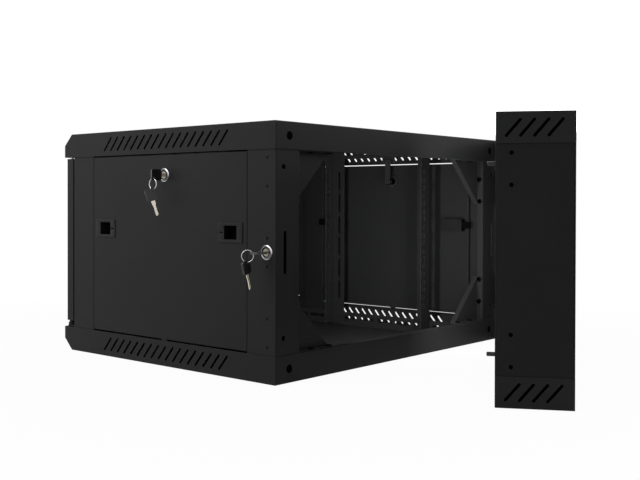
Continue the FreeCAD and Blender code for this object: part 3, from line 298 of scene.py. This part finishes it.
# nodes with one of these words in their name have a finish of their own
# the cams, nuts and locating pins take near-black finishes that are painted shade
WORD_FINISH = {"lock_cam": cam_painted_shade, "lock_nuts": cam_painted_shade, "locating_pins": pin_painted_shade,
               # the wall section's covers take the lighter copy of the coat, which is painted light
               "lock_plug": plug_metal, "wall_top_cover": coat_painted_lighter,
               "wall_bottom_cover": coat_painted_lighter}


def finish_nodes():
    """Gives each CAD node the finish of its slot, or its own."""
    for part in frame["record"]["subparts"]:
        finish = SLOT_FINISH[part["material_slot"]]
        for word, other in WORD_FINISH.items():
            if word in part["node"]:
                finish = other
        data = NODES[part["node"]].data
        data.materials.clear()
        data.materials.append(finish)


finish_nodes()


# ---------------------------------------------------------------- geometry

SHARP_ANGLE = 32        # degrees between faces from which an edge is drawn sharp


def ring_of(centre, radius, steps):
    """Points around a circle."""
    angles = [math.radians(360 * step / steps) for step in range(steps)]
    return [(centre[0] + radius * math.cos(angle), centre[1] + radius * math.sin(angle))
            for angle in angles]


def oblong(low_x, low_y, high_x, high_y):
    """The corners of a rectangle."""
    return [(low_x, low_y), (high_x, low_y), (high_x, high_y), (low_x, high_y)]


def rounded(points, radius, steps=5):
    """A closed outline with its corners rounded."""
    outline = []
    for index, place in enumerate(points):
        corner = Vector(place)
        before = (Vector(points[index - 1]) - corner).normalized()
        after = (Vector(points[(index + 1) % len(points)]) - corner).normalized()
        half = before.angle(after) / 2
        centre = corner + (before + after).normalized() * (radius / math.sin(half))
        start = corner + before * (radius / math.tan(half)) - centre
        end = corner + after * (radius / math.tan(half)) - centre
        for step in range(steps + 1):
            outline.append(tuple(centre + start.lerp(end, step / steps).normalized() * radius))
    return outline


def eased(share):
    """A share from 0 to 1 with a soft start and end."""
    return share * share * (3 - 2 * share)


def turned(angle, axis):
    """A turn by an angle in degrees."""
    return Matrix.Rotation(math.radians(angle), 4, axis)


UPRIGHT = turned(90, "X")                              # lays a shape's Y upwards


def facing(axis, place, turn=0):
    """Puts a shape's Z along an axis, at a place; the turn is about that axis."""
    aim = Vector((0, 0, 1)).rotation_difference(Vector(axis)).to_matrix().to_4x4()
    return Matrix.Translation(place) @ aim @ turned(turn, "Z")


def side_plane(side, place):
    """The plane of a side panel: the shape's X runs along Y, its Y up, and its Z outwards."""
    axes = Vector((0, side, 0)), Vector((0, 0, 1)), Vector((side, 0, 0))
    return Matrix.Translation(place) @ Matrix(axes).transposed().to_4x4()


def placed(place, parts):
    """Shapes with their own places, moved together to another place."""
    return [(mesh, place @ local) for mesh, local in parts]


def finished(bm, name):
    """Turns a working mesh into mesh data."""
    mesh = bpy.data.meshes.new(name)
    bm.to_mesh(mesh)
    bm.free()
    return mesh


def plate(outline, thickness, rim, holes=()):
    """A flat plate from z = 0 up to its thickness, with a rounded upper rim and holes."""
    bm = bmesh.new()
    loops = []
    for points in (outline, *holes):
        verts = [bm.verts.new((x, y, 0)) for x, y in points]
        loops.append([bm.edges.new((a, b)) for a, b in zip(verts, verts[1:] + verts[:1])])
    bmesh.ops.triangle_fill(bm, edges=[edge for loop in loops for edge in loop], use_beauty=True)
    made = bmesh.ops.extrude_face_region(bm, geom=bm.faces[:])["geom"]
    bmesh.ops.translate(bm, vec=(0, 0, thickness),
                        verts=[item for item in made if isinstance(item, bmesh.types.BMVert)])
    bmesh.ops.dissolve_limit(bm, angle_limit=0.001, verts=bm.verts[:], edges=bm.edges[:])
    bmesh.ops.recalc_face_normals(bm, faces=bm.faces[:])
    if rim:
        # the level, sharp edges of the upper face
        rims = [edge for edge in bm.edges if abs(edge.verts[0].co.z - edge.verts[1].co.z) < 1e-7
                and edge.calc_face_angle(0) > 1 and edge.verts[0].co.z > thickness / 2]
        bmesh.ops.bevel(bm, geom=rims, offset=rim, segments=3, profile=0.5, affect="EDGES")
    bmesh.ops.triangulate(bm, faces=[face for face in bm.faces if len(face.verts) > 4])
    return finished(bm, "plate")


def block(low, high, rim=0.0003):
    """A box between two corners, with softened upper rims."""
    shape = plate(oblong(low[0], low[1], high[0], high[1]), high[2] - low[2], rim)
    return shape, Matrix.Translation((0, 0, low[2]))


def upright_sheet(low, high, radius, steps=5):
    """A sheet that fills a box and faces the front, with rounded corners and soft rims."""
    size = high - low
    shape = plate(rounded(oblong(0, 0, size.x, size.z), radius, steps), size.y, 0.0005)
    return shape, Matrix.Translation((low.x, high.y, low.z)) @ UPRIGHT


def lathe(profile, steps):
    """A turned shape about Z from (radius, height) points, from the axis or open at its ends."""
    bm = bmesh.new()
    rings = []
    for radius, height in profile:
        circle = ring_of((0, 0), radius, steps) if radius else [(0, 0)]
        rings.append([bm.verts.new((*place, height)) for place in circle])
    for lower, upper in zip(rings, rings[1:]):
        for index in range(steps):
            after = (index + 1) % steps
            corners = []
            for vert in (lower[index % len(lower)], lower[after % len(lower)],
                         upper[after % len(upper)], upper[index % len(upper)]):
                if vert not in corners:
                    corners.append(vert)
            bm.faces.new(corners)
    bmesh.ops.recalc_face_normals(bm, faces=bm.faces[:])
    return finished(bm, "lathe")


def wire_along(path, radius):
    """A round wire along a path of points, with flat caps on its ends."""
    curve = bpy.data.curves.new("wire", "CURVE")
    curve.dimensions = "3D"
    curve.bevel_depth = radius
    curve.bevel_resolution = 4
    curve.use_fill_caps = True
    spline = curve.splines.new("POLY")
    spline.points.add(len(path) - 1)
    for point, place in zip(spline.points, path):
        point.co = (*place, 1)
    holder = bpy.data.objects.new("wire", curve)
    bpy.context.scene.collection.objects.link(holder)
    bpy.context.view_layer.update()
    drawn = holder.evaluated_get(bpy.context.evaluated_depsgraph_get())
    mesh = bpy.data.meshes.new_from_object(drawn)
    bpy.data.objects.remove(holder)
    bpy.data.curves.remove(curve)
    return mesh


def piece(name, parts, material, body, replaced=()):
    """One object from shapes and their places; it rides on a body and may stand for CAD nodes."""
    bm = bmesh.new()
    for mesh, place in parts:
        shape = mesh.copy()
        shape.transform(place)
        bm.from_mesh(shape)
        bpy.data.meshes.remove(shape)
    mesh = finished(bm, name)
    mesh.shade_smooth()
    mesh.set_sharp_from_angle(angle=math.radians(SHARP_ANGLE))
    mesh.materials.append(material)
    made = bpy.data.objects.new(name, mesh)
    bpy.context.scene.collection.objects.link(made)
    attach(made, body)
    if replaced:
        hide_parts(*replaced)


# ------------------------------------------------------------ measured places

def box_of(places):
    """The lowest and the highest corner of some places."""
    return (Vector([min(place[i] for place in places) for i in range(3)]),
            Vector([max(place[i] for place in places) for i in range(3)]))


def islands(node):
    """Boxes of a node's separate solids."""
    bm = bmesh.new()
    bm.from_mesh(NODES[node].data)
    bmesh.ops.remove_doubles(bm, verts=bm.verts[:], dist=0.00001)
    found, seen = [], set()
    for start in bm.verts:
        if start in seen:
            continue
        seen.add(start)
        heap, places = [start], []
        while heap:
            vert = heap.pop()
            places.append(vert.co.copy())
            for edge in vert.link_edges:
                other = edge.other_vert(vert)
                if other not in seen:
                    seen.add(other)
                    heap.append(other)
        found.append(box_of(places))
    bm.free()
    return found


def middle(node):
    """The middle of a node's box."""
    low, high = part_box(node)
    return (low + high) / 2


def section_frame():
    """Turns places of the closed wall section to where it stands open."""
    joints = frame["record"]["behaviour"]["joints"]
    swing = next(joint for joint in joints if joint["name"] == "section_swing")
    pin = Vector(swing["pos_m"])
    return Matrix.Translation(pin) @ turned(swing["range_deg"][1], "Z") @ Matrix.Translation(-pin)


SECTION = section_frame()


def shut_box(node):
    """The box of a wall section's node while the section is closed."""
    return box_of([SECTION.inverted() @ vert.co for vert in NODES[node].data.vertices])


MIRRORED = ((1, "right"), (-1, "left"))
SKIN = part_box("side_panel_right")[1].x                 # outer face of panels and posts
LATCH_LOW, LATCH_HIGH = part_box("latch_housings")


# ------------------------------------------------------------ finger latches

RIM_X, RIM_Y = 0.025, 0.015                            # half sizes of the moulded rim
MOUTH_X, MOUTH_Y = 0.013, 0.010                        # half sizes of the finger opening
TUB_X, TUB_DEPTH, TUB_WALL = 0.022, 0.014, 0.002       # half length, depth and wall of the tub
TUB_END = 0.0203                                       # inside of the tub's end wall


def latch_place(side, end):
    """The place of a latch: its X points at the panel's near edge, its Z outwards."""
    y = LATCH_HIGH.y - RIM_X if end > 0 else LATCH_LOW.y + RIM_X
    plane = side_plane(side, (side * SKIN, y, (LATCH_LOW.z + LATCH_HIGH.z) / 2))
    return plane if side == end else plane @ turned(180, "Z")


def latch_rim():
    """The rim, with a finger mouth and a witness slit."""
    mouth = rounded(oblong(-MOUTH_X, -MOUTH_Y, MOUTH_X, MOUTH_Y), 0.0012)
    slit = rounded(oblong(-0.0225, -0.0008, -0.0150, 0.0008), 0.0004, 2)
    outline = rounded(oblong(-RIM_X, -RIM_Y, RIM_X, RIM_Y), 0.0018)
    return plate(outline, 0.0013, 0.0005, [mouth, slit]), Matrix()


def latch_tub():
    """The tub's two long walls, its end wall and its floor."""
    walls = [block((-TUB_X, y, -TUB_DEPTH), (TUB_X, y + TUB_WALL, 0)) for y in (-0.012, MOUTH_Y)]
    return walls + [block((-TUB_X, -MOUTH_Y, -TUB_DEPTH), (-TUB_END, MOUTH_Y, 0)),
                    block((-TUB_END, -MOUTH_Y, -TUB_DEPTH), (TUB_X, MOUTH_Y, -0.0124))]


def latch_throat():
    """A ledge and a wall beside the mouth, and an S-shaped ramp down to the slider."""
    steps, run, fall = 12, 0.017, 0.0084
    upper = [(MOUTH_X - run * (step / steps), -0.0006 - fall * eased(step / steps))
             for step in range(steps + 1)]
    ramp = plate(upper + [(x, y - 0.0006) for x, y in reversed(upper)], 2 * MOUTH_Y, 0)
    return [block((-TUB_END, -MOUTH_Y, -0.0015), (-MOUTH_X, MOUTH_Y, -0.0002)),
            block((MOUTH_X, -MOUTH_Y, -0.0092), (TUB_X, MOUTH_Y, 0)),
            (ramp, Matrix.Translation((0, MOUTH_Y, 0)) @ UPRIGHT)]


def latch_slider():
    """The sprung plate with its tongue and a ribbed finger wall."""
    parts = [block((-MOUTH_X, -0.0065, -0.0121), (0.0409, 0.0065, -0.0097)),
             block((-MOUTH_X, -0.0097, -0.0099), (-0.0104, 0.0097, -0.0018), 0.0005)]
    ribs, pitch, rib = 4, 0.0018, 0.0008
    for index in range(ribs):
        z = -0.0088 + index * pitch
        parts.append(block((-0.0106, -0.0085, z), (-0.0099, 0.0085, z + rib), 0.0002))
    return parts


def latches():
    """The four finger latches of the side panels."""
    rims, tubs, throats = [], [], []
    for side, hand in MIRRORED:
        for end, word in ((1, "rear"), (-1, "front")):
            place = latch_place(side, end)
            rims += placed(place, [latch_rim()])
            tubs += placed(place, latch_tub())
            throats += placed(place, latch_throat())
            piece("slider_%s_%s" % (word, hand), placed(place, latch_slider()), rubber_and_painted_shade,
                  "latch_%s_%s" % (word, hand),
                  ["latch_slider_%s_%s" % (word, hand)])
    piece("latch_rims", rims, moulded, "main_section", ["latch_housings"])
    piece("latch_tubs", tubs, moulded_tub, "main_section")
    piece("latch_throats", throats, rubber_and_painted_shade, "main_section")


# ---------------------------------------------------------- locks and keys

DISH_HIGH = 0.0024                                     # how far a dish stands out
KEY_THICK, KEY_WEB = 0.0032, 0.0022                    # a grip's border and its middle
BLADE_THICK, BLADE_WIDE = 0.0016, 0.006
RING_RADIUS, RING_WIRE = 0.0082, 0.0007


def lock_dish(length):
    """Chrome dish around the plug, on a threaded sleeve of a length."""
    sleeve = [(0.0081, -length)]
    for turn in range(int(length / MM) - 2):
        start = -length + turn * MM
        sleeve += [(0.0085, start + 0.00045), (0.0082, start + 0.0009)]
    dish = [(0.0085, -0.0015), (0.0085, 0), (0.0109, 0), (0.0110, 0.0004), (0.0107, 0.0012),
            (0.0102, 0.0018), (0.0095, 0.0023), (0.0089, DISH_HIGH), (0.0083, 0.0022),
            (0.0079, 0.0017), (0.0077, 0.0006), (0.00555, 0.0004), (0.00555, -length)]
    return lathe(sleeve + dish, 48)


def lock_well():
    """Near-black funnel between the bright rim and the plug, a painted dark reflection ring inside
    the chrome dish.
    """
    return lathe([(0.0077, 0.0005), (0.0078, 0.0016), (0.0070, 0.0014), (0.0062, 0.0010),
                  (0.00565, 0.0008), (0.00565, 0.0004), (0.0077, 0.0005)], 48)


def locks():
    """The dishes and wells of the four locks; the door's has its nut on it."""
    for tag, axis, body in (("side_right", (1, 0, 0), "main_section"),
                            ("side_left", (-1, 0, 0), "main_section"),
                            ("rear", (1, 0, 0), "main_section"),
                            ("door", (0, -1, 0), "front_door")):
        node = "lock_barrel_" + tag
        low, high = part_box(node)
        plug = middle("lock_plug_" + tag)
        out = Vector(axis)
        face = max(low.dot(out), high.dot(out)) - DISH_HIGH
        place = plug - out * plug.dot(out) + out * face
        length = face - min(low.dot(out), high.dot(out))
        parts = [(lock_dish(length), facing(axis, place))]
        if tag == "door":
            nut = plate(ring_of((0, 0), 0.0127, 6), 0.004, 0.0004, [ring_of((0, 0), 0.0085, 36)])
            parts.append((nut, facing(axis, place - out * 0.0055)))
        piece("lock_dish_" + tag, parts, chrome, body, [node])
        # the funnel's near-black finish is a painted dark reflection ring
        piece("lock_well_" + tag, [(lock_well(), facing(axis, place))], well, body)


def key_bow(eye_at, low, high):
    """A grip with a raised border and an eye, in the XY plane about z = 0."""
    def inset(by):
        return oblong(low[0] + by, low[1] + by, high[0] - by, high[1] - by)

    eye = ring_of(eye_at, 0.0022, 20)
    border = plate(rounded(oblong(*low, *high), 0.0030), KEY_THICK, 0.0005,
                   [rounded(inset(0.0017), 0.0018)])
    body = plate(rounded(inset(0.0012), 0.0022), KEY_WEB, 0, [eye])
    boss = plate(ring_of(eye_at, 0.0034, 28), KEY_THICK, 0.0005, [eye])
    return [(border, Matrix.Translation((0, 0, -KEY_THICK / 2))),
            (body, Matrix.Translation((0, 0, -KEY_WEB / 2))),
            (boss, Matrix.Translation((0, 0, -KEY_THICK / 2)))]


def key_blade(root, tip, shoulder):
    """A flat blade along X with a shoulder, a bitted edge and a groove on both faces."""
    half, run = BLADE_WIDE / 2, tip - root
    outline = [(root, -half), (root + run * shoulder, -half)]
    cuts = (0.0, 0.9, 0.3, 1.1, 0.5, 0.0)              # depths in half millimetres
    start, pitch = root + run * (shoulder + 0.06), run * (1 - shoulder - 0.14) / len(cuts)
    slim = half * 0.74
    for index, depth in enumerate(cuts):
        x = start + index * pitch
        outline += [(x, -slim + depth * 0.0005), (x + pitch * 0.6, -slim + depth * 0.0005)]
    outline += [(tip - run * 0.03, -slim * 0.6), (tip, 0), (tip - run * 0.03, slim * 0.8),
                (start, slim), (root + run * shoulder, half), (root, half)]
    if run < 0:
        outline.reverse()
    core = plate(outline, BLADE_THICK * 0.62, 0)
    parts = [(core, Matrix.Translation((0, 0, -BLADE_THICK * 0.31)))]
    ends = sorted((root, tip - run * 0.08))
    for low, high in ((-slim * 0.72, -slim * 0.12), (slim * 0.30, slim * 0.94)):
        strip = plate(oblong(ends[0], low, ends[1], high), BLADE_THICK, 0.0002)
        parts.append((strip, Matrix.Translation((0, 0, -BLADE_THICK / 2))))
    return parts


def keys():
    """The keys that stand in the right side lock and in the rear one."""
    for tag, plug, body, turn in (("side", "lock_plug_side_right", "side_lock_right", 0),
                                  ("rear", "lock_plug_rear", "rear_lock", -90)):
        hole = middle(plug)
        place = Matrix.Translation((SKIN, hole.y, hole.z)) @ turned(turn, "X") @ UPRIGHT
        bow = key_bow((0.0226, -0.0051), (0.007, -0.0085), (0.026, 0.0085))
        piece("grip_" + tag, placed(place, bow), moulded_key, body,
              ["key_bow_" + tag])
        blade = key_blade(0.0085, -0.009, shoulder=0.2)
        piece("blade_" + tag, placed(place, blade), nickel, body, ["key_blade_" + tag])


def split_ring():
    """Two turns of round wire, one on the other, with a sloped crossing."""
    steps, turns = 48, 2
    path = []
    for step in range(steps * turns - 1):
        share = step / (steps * turns - 2)
        level = eased(min(max((share - 0.44) / 0.12, 0), 1))
        angle = math.radians(20 + 360 * turns * share)
        path.append((RING_RADIUS * math.cos(angle), RING_RADIUS * math.sin(angle),
                     RING_WIRE * (level - 0.5)))
    return wire_along(path, RING_WIRE / 2)


def hanging():
    """Split rings and the spare keys on them."""
    for tag, ring_turn, key_turn, drop in (
            ("side", turned(90, "Y"), turned(-20, "Z") @ turned(18, "Y"), 0.0009),
            ("rear", turned(-49, "Z") @ turned(90, "X"), turned(9, "Z") @ turned(18, "Y"), 0)):
        centre = middle("key_ring_" + tag)
        piece("split_ring_" + tag, [(split_ring(), Matrix.Translation(centre) @ ring_turn)],
              steel_wire, "ring_" + tag, ["key_ring_" + tag])
        eye = Vector((centre.x, centre.y, centre.z - RING_RADIUS - drop))
        place = Matrix.Translation(eye) @ key_turn @ UPRIGHT
        bow = key_bow((0, 0), (-0.0034, -0.0156), (0.0136, 0.0034))
        piece("spare_grip_" + tag, placed(place, bow), moulded_key, "spare_" + tag,
              ["spare_key_" + tag])
        down = Matrix.Translation((0.0051, 0, 0)) @ turned(-90, "Z")
        blade = key_blade(0.0140, 0.0396, shoulder=0.28)
        piece("spare_blade_" + tag, placed(place @ down, blade), nickel, "spare_" + tag)


# ------------------------------------------------------------- small fittings

PIN_X, PIN_RISE = 0.2825, 0.120     # holes for the locating pins, from the posts' middle
SLOT_X, SLOT_HALF = 0.2722, 0.0330  # the black blades of painted shade beside the rear posts' slots
CAP_Y, CAP_INSETS = 0.0195, (0.051, 0.091)             # holes in the wall section's ends
CLEAR = 0.0004                                         # gap that keeps trim off the covers
VENT_SHADE_INSET, VENT_SHADE_THICK = 0.0022, 0.0013            # black sheets of painted shade behind the vents, from the outer faces
RIM_GAP = 0.0025                                       # from the cabinet's top or foot
BAND_HIGH = 0.0375                                     # painted-shade sheets behind the vents of the wall section's covers


def pan_head(radius, height):
    """A pan head with a cross recess, seated at z = 0."""
    arm, slim = radius * 0.55, radius * 0.14
    cross = [(slim, slim), (slim, arm), (-slim, arm), (-slim, slim), (-arm, slim), (-arm, -slim),
             (-slim, -slim), (-slim, -arm), (slim, -arm), (slim, -slim), (arm, -slim), (arm, slim)]
    head = plate(ring_of((0, 0), radius, 28), height, height * 0.45, [cross])
    floor = plate(ring_of((0, 0), radius * 0.7, 20), height * 0.35, 0)
    return [(head, Matrix()), (floor, Matrix())]


def screws_and_rivets():
    """Cross-head screws on the gussets' tabs and flush rivets around the rear lock."""
    screws, rivets = [], []
    rivet = lathe([(0.0022, 0), (0.0021, 0.00012), (0.0016, 0.00026), (0.0009, 0.0003),
                   (0, 0.0003)], 24)
    core = Vector((0, 0, (cad_low.z + cad_high.z) / 2))
    for low, high in islands("frame_screws"):
        size, centre = high - low, (low + high) / 2
        thin = min(range(3), key=lambda i: size[i])
        if size[thin] < MM:
            rivets.append((rivet, facing((1, 0, 0), (low.x, centre.y, centre.z))))
            continue
        axis = Vector()
        axis[thin] = -1 if centre[thin] > core[thin] else 1
        seat = centre - axis * size[thin] / 2
        turn = 25 + 137 * (len(screws) % 5)            # no two neighbours' crosses alike
        screws += placed(facing(axis, seat, turn), pan_head(0.0045, size[thin]))
    piece("screw_heads", screws, coated_screw, "main_section", ["frame_screws"])
    piece("rivet_heads", rivets, coated_screw, "main_section")


def plugs():
    """Push-in rubber plugs with a domed face inside a thin lip."""
    parts = []
    for low, high in islands("corner_plugs"):
        centre, depth = (low + high) / 2, high.y - low.y
        shape = lathe([(0, -depth), (0.0077, -depth), (0.0077, 0.0021 - depth),
                       (0.00615, 0.0021 - depth), (0.00615, -0.0004), (0.0059, 0), (0.0053, 0),
                       (0.0049, -0.0006), (0.0038, -0.0004), (0.0020, -0.0001), (0, 0)], 36)
        parts.append((shape, facing((0, 1, 0), (centre.x, high.y, centre.z))))
    piece("hole_plugs", parts, rubber_and_painted_shade, "main_section", ["corner_plugs"])


def pin_hole_shade_cups():
    """Hollow black cups behind the rear posts' holes for the locating pins, painted shade that keeps
    the holes dark.
    """
    cup = lathe([(0.0046, -0.0001), (0.0058, -0.0001), (0.0058, -0.0150), (0, -0.0150)], 28)
    inside = lathe([(0, -0.0142), (0.0046, -0.0142), (0.0046, -0.0001)], 28)
    inside.flip_normals()
    parts = []
    level = middle("rear_post_right").z
    for side, hand in MIRRORED:
        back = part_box("rear_post_" + hand)[1].y - 0.0015
        for rise in (-PIN_RISE, PIN_RISE):
            spot = (side * PIN_X, back, level + rise)
            parts += [(shape, facing((0, 1, 0), spot)) for shape in (cup, inside)]
    piece("pin_hole_shade", parts, rubber_and_painted_shade, "main_section")


def stoppers():
    """Black snap-in caps in the holes of the wall section's ends."""
    cap = lathe([(0, -0.0030), (0.0036, -0.0030), (0.0038, -0.0024), (0.0038, -0.0015),
                 (0.0029, -0.0015), (0.0028, -0.0008), (0.0024, -0.0006), (0, -0.0005)], 28)
    parts = []
    for side, hand in MIRRORED:
        low, high = shut_box("wall_end_" + hand)
        face = high.x if side > 0 else low.x
        for inset in CAP_INSETS:
            for z in (low.z - 0.0015 + inset, high.z + 0.0015 - inset):
                place = facing((side, 0, 0), (face, low.y + CAP_Y, z))
                parts.append((cap, SECTION @ place))
    piece("end_stoppers", parts, rubber_and_painted_shade, "wall_section")


def lips():
    """Narrow lips on the wall section's front flanges, level with the rims of its covers."""
    parts = []
    wide, inset = 0.0080, 0.0002
    rim = shut_box("wall_top_cover")[0].y
    foot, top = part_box("wall_bottom_cover")[1].z + CLEAR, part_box("wall_top_cover")[0].z - CLEAR
    for side, hand in MIRRORED:
        low, high = shut_box("wall_end_" + hand)
        outline = rounded(oblong(0, 0, wide, top - foot), 0.0010, 3)
        strip = plate(outline, low.y - rim, 0.0004)
        left = high.x - wide - inset if side > 0 else low.x + inset
        parts.append((strip, SECTION @ Matrix.Translation((left, low.y, foot)) @ UPRIGHT))
    piece("front_lips", parts, coat, "wall_section")


def vent_shade_sheets():
    """Thin black sheets behind the vent slots, painted shade that keeps the slots dark: on the
    right-hand side of the main section's covers, and on both sides of the wall section's."""
    outer = SKIN - VENT_SHADE_INSET
    inner = outer - VENT_SHADE_THICK
    floor, roof = cad_low.z + RIM_GAP, cad_high.z - RIM_GAP
    front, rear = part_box("front_post_right")[1].y + 0.004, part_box("rear_post_right")[0].y - 0.004
    main = [block((inner, front, low), (outer, rear, high))
            for low, high in ((floor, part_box("bottom_cover")[1].z + 0.0014),
                              (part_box("side_panel_right")[1].z + 0.0008, roof))]
    low, high = shut_box("wall_end_right")
    near, far = low.y + VENT_SHADE_INSET, high.y - VENT_SHADE_INSET
    wall = []
    for side in (1, -1):
        left, right = sorted((side * inner, side * outer))
        for foot, top in ((floor, BAND_HIGH), (cad_high.z - BAND_HIGH, roof)):
            wall.append(block((left, near, foot), (right, far, top)))
    # the sheets behind the vents are painted shade
    piece("main_vent_shade", main, vent_shade_black, "main_section")
    piece("wall_vent_shade", placed(SECTION, wall), vent_shade_black, "wall_section")


def slot_shade_blades():
    """Narrow black blades beside the slots in the rear posts' back faces, painted shade that keeps
    the slots dark.
    """
    parts = []
    level, face = middle("rear_post_right").z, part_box("rear_post_right")[1].y
    for side in (1, -1):
        left, right = sorted((side * SLOT_X, side * (SLOT_X + MM)))
        parts.append(block((left, face - 0.0100, level - SLOT_HALF),
                           (right, face - 0.0019, level + SLOT_HALF)))
    piece("slot_shade_blades", parts, rubber_and_painted_shade, "main_section")


def strips():
    """Foam strips between the door and the front posts, and one below the door."""
    parts = [upright_sheet(low, high, 0.001, 3) for low, high in islands("door_seal")]
    left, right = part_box("front_post_left"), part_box("front_post_right")
    front = left[0].y + 0.0005
    parts.append(block((left[1].x, front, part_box("bottom_cover")[1].z - MM),
                       (right[0].x, front + 0.0015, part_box("door_frame")[0].z - 0.0005)))
    piece("foam_strips", parts, foam, "main_section", ["door_seal"])


def glazing():
    """Tempered pane with ground edges."""
    pane = upright_sheet(*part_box("door_glass"), 0.003)
    piece("door_pane", [pane], smoked_glass, "front_door", ["door_glass"])


latches()
locks()
keys()
hanging()
screws_and_rivets()
plugs()
pin_hole_shade_cups()
stoppers()
lips()
vent_shade_sheets()
slot_shade_blades()
strips()
glazing()


# -------------------------------------------------------------- surroundings

ROOM_LIGHT = 0.10                                      # share of the white room's light
FLOOR_REACH, FLOOR_DROP = 6, 0.0005
NEAR_WHITE, FADE_START, FADE_END = 0.965, 0.5, 1.2     # the floor's glow, and its distances
MIDDLE = Vector((-0.05, 0.15, 0.18))
LAMP_DISTANCE, LAMP_WIDE = 2.6, 1.6


def seen_directly(tree):
    """1 for camera, mirror and glass rays, 0 for diffuse ones."""
    path = tree.nodes.new("ShaderNodeLightPath")
    seen = path.outputs["Is Camera Ray"]
    for name in ("Is Glossy Ray", "Is Transmission Ray"):
        seen = calculated(tree, "MAXIMUM", seen, path.outputs[name])
    return seen


def set_world():
    """A white room whose walls give only part of the light."""
    world = bpy.data.worlds.new("studio")
    world.use_nodes = True
    bpy.context.scene.world = world
    tree = world.node_tree
    sky = tree.nodes["Background"]
    sky.inputs["Color"].default_value = (1, 1, 1, 1)
    level = spread(tree, seen_directly(tree), ROOM_LIGHT, 1, 0, 1)
    tree.links.new(level, sky.inputs["Strength"])


def set_floor():
    """White floor that keeps a faint shadow near the object and fades into the room."""
    mesh = bpy.data.meshes.new("floor")
    corners = oblong(-FLOOR_REACH, -FLOOR_REACH, FLOOR_REACH, FLOOR_REACH)
    mesh.from_pydata([(x, y, 0) for x, y in corners], [], [(0, 1, 2, 3)])
    floor = bpy.data.objects.new("floor", mesh)
    floor.location.z = cad_low.z - FLOOR_DROP
    bpy.context.scene.collection.objects.link(floor)
    material, tree, shader = new_material("pale_floor")
    shader.inputs["Base Color"].default_value = (0.8, 0.8, 0.8, 1)
    shader.inputs["Roughness"].default_value = 0.9
    shader.inputs["Specular IOR Level"].default_value = 0
    glow = tree.nodes.new("ShaderNodeEmission")
    distance = tree.nodes.new("ShaderNodeVectorMath")
    distance.operation = "LENGTH"
    tree.links.new(object_place(tree), distance.inputs[0])
    fade = spread(tree, distance.outputs["Value"], NEAR_WHITE, 1, FADE_START, FADE_END)
    mix = tree.nodes.new("ShaderNodeMixShader")
    tree.links.new(calculated(tree, "MULTIPLY", fade, seen_directly(tree)), mix.inputs[0])
    tree.links.new(shader.outputs[0], mix.inputs[1])
    tree.links.new(glow.outputs[0], mix.inputs[2])
    tree.links.new(mix.outputs[0], tree.nodes["Material Output"].inputs["Surface"])
    mesh.materials.append(material)


def add_light(name, place, target, power, wide, high=None, seen=True):
    """A soft lamp, square or wide by high, aimed at a target. An unseen one only lights."""
    data = bpy.data.lights.new(name, "AREA")
    data.shape = "RECTANGLE"
    data.size = wide
    data.size_y = high or wide
    data.energy = power
    light = bpy.data.objects.new(name, data)
    light.location = place
    light.rotation_euler = (Vector(target) - Vector(place)).to_track_quat("-Z", "Y").to_euler()
    light.visible_camera = light.visible_glossy = light.visible_transmission = seen
    bpy.context.scene.collection.objects.link(light)


def around(azimuth, height):
    """A place at the lamps' distance from the middle of the cabinet, angles in degrees."""
    turn, rise = math.radians(azimuth), math.radians(height)
    return MIDDLE + LAMP_DISTANCE * Vector((math.cos(turn) * math.cos(rise),
                                            math.sin(turn) * math.cos(rise), math.sin(rise)))


set_world()
set_floor()
for name, azimuth, height, power in (("right", -45, 15, 7), ("rear", 150, 30, 29),
                                     ("front", -120, 35, 12), ("left", 190, 25, 10)):
    add_light(name, around(azimuth, height), MIDDLE, power, LAMP_WIDE)
add_light("overhead", (0.86, -0.08, 1.05), (0.3, -0.02, 0.17), power=5.4, wide=0.7)
add_light("inside", (0.19, 0.175, 0.18), (-0.3, -0.19, 0.18), power=1.25, wide=0.05, high=0.18,
          seen=False)
add_light("wedge", (-0.06, 0.345, 0.184), (-0.26, 0.235, 0.184), power=0.46, wide=0.04, high=0.25,
          seen=False)
bpy.context.scene.view_settings.view_transform = "Standard"
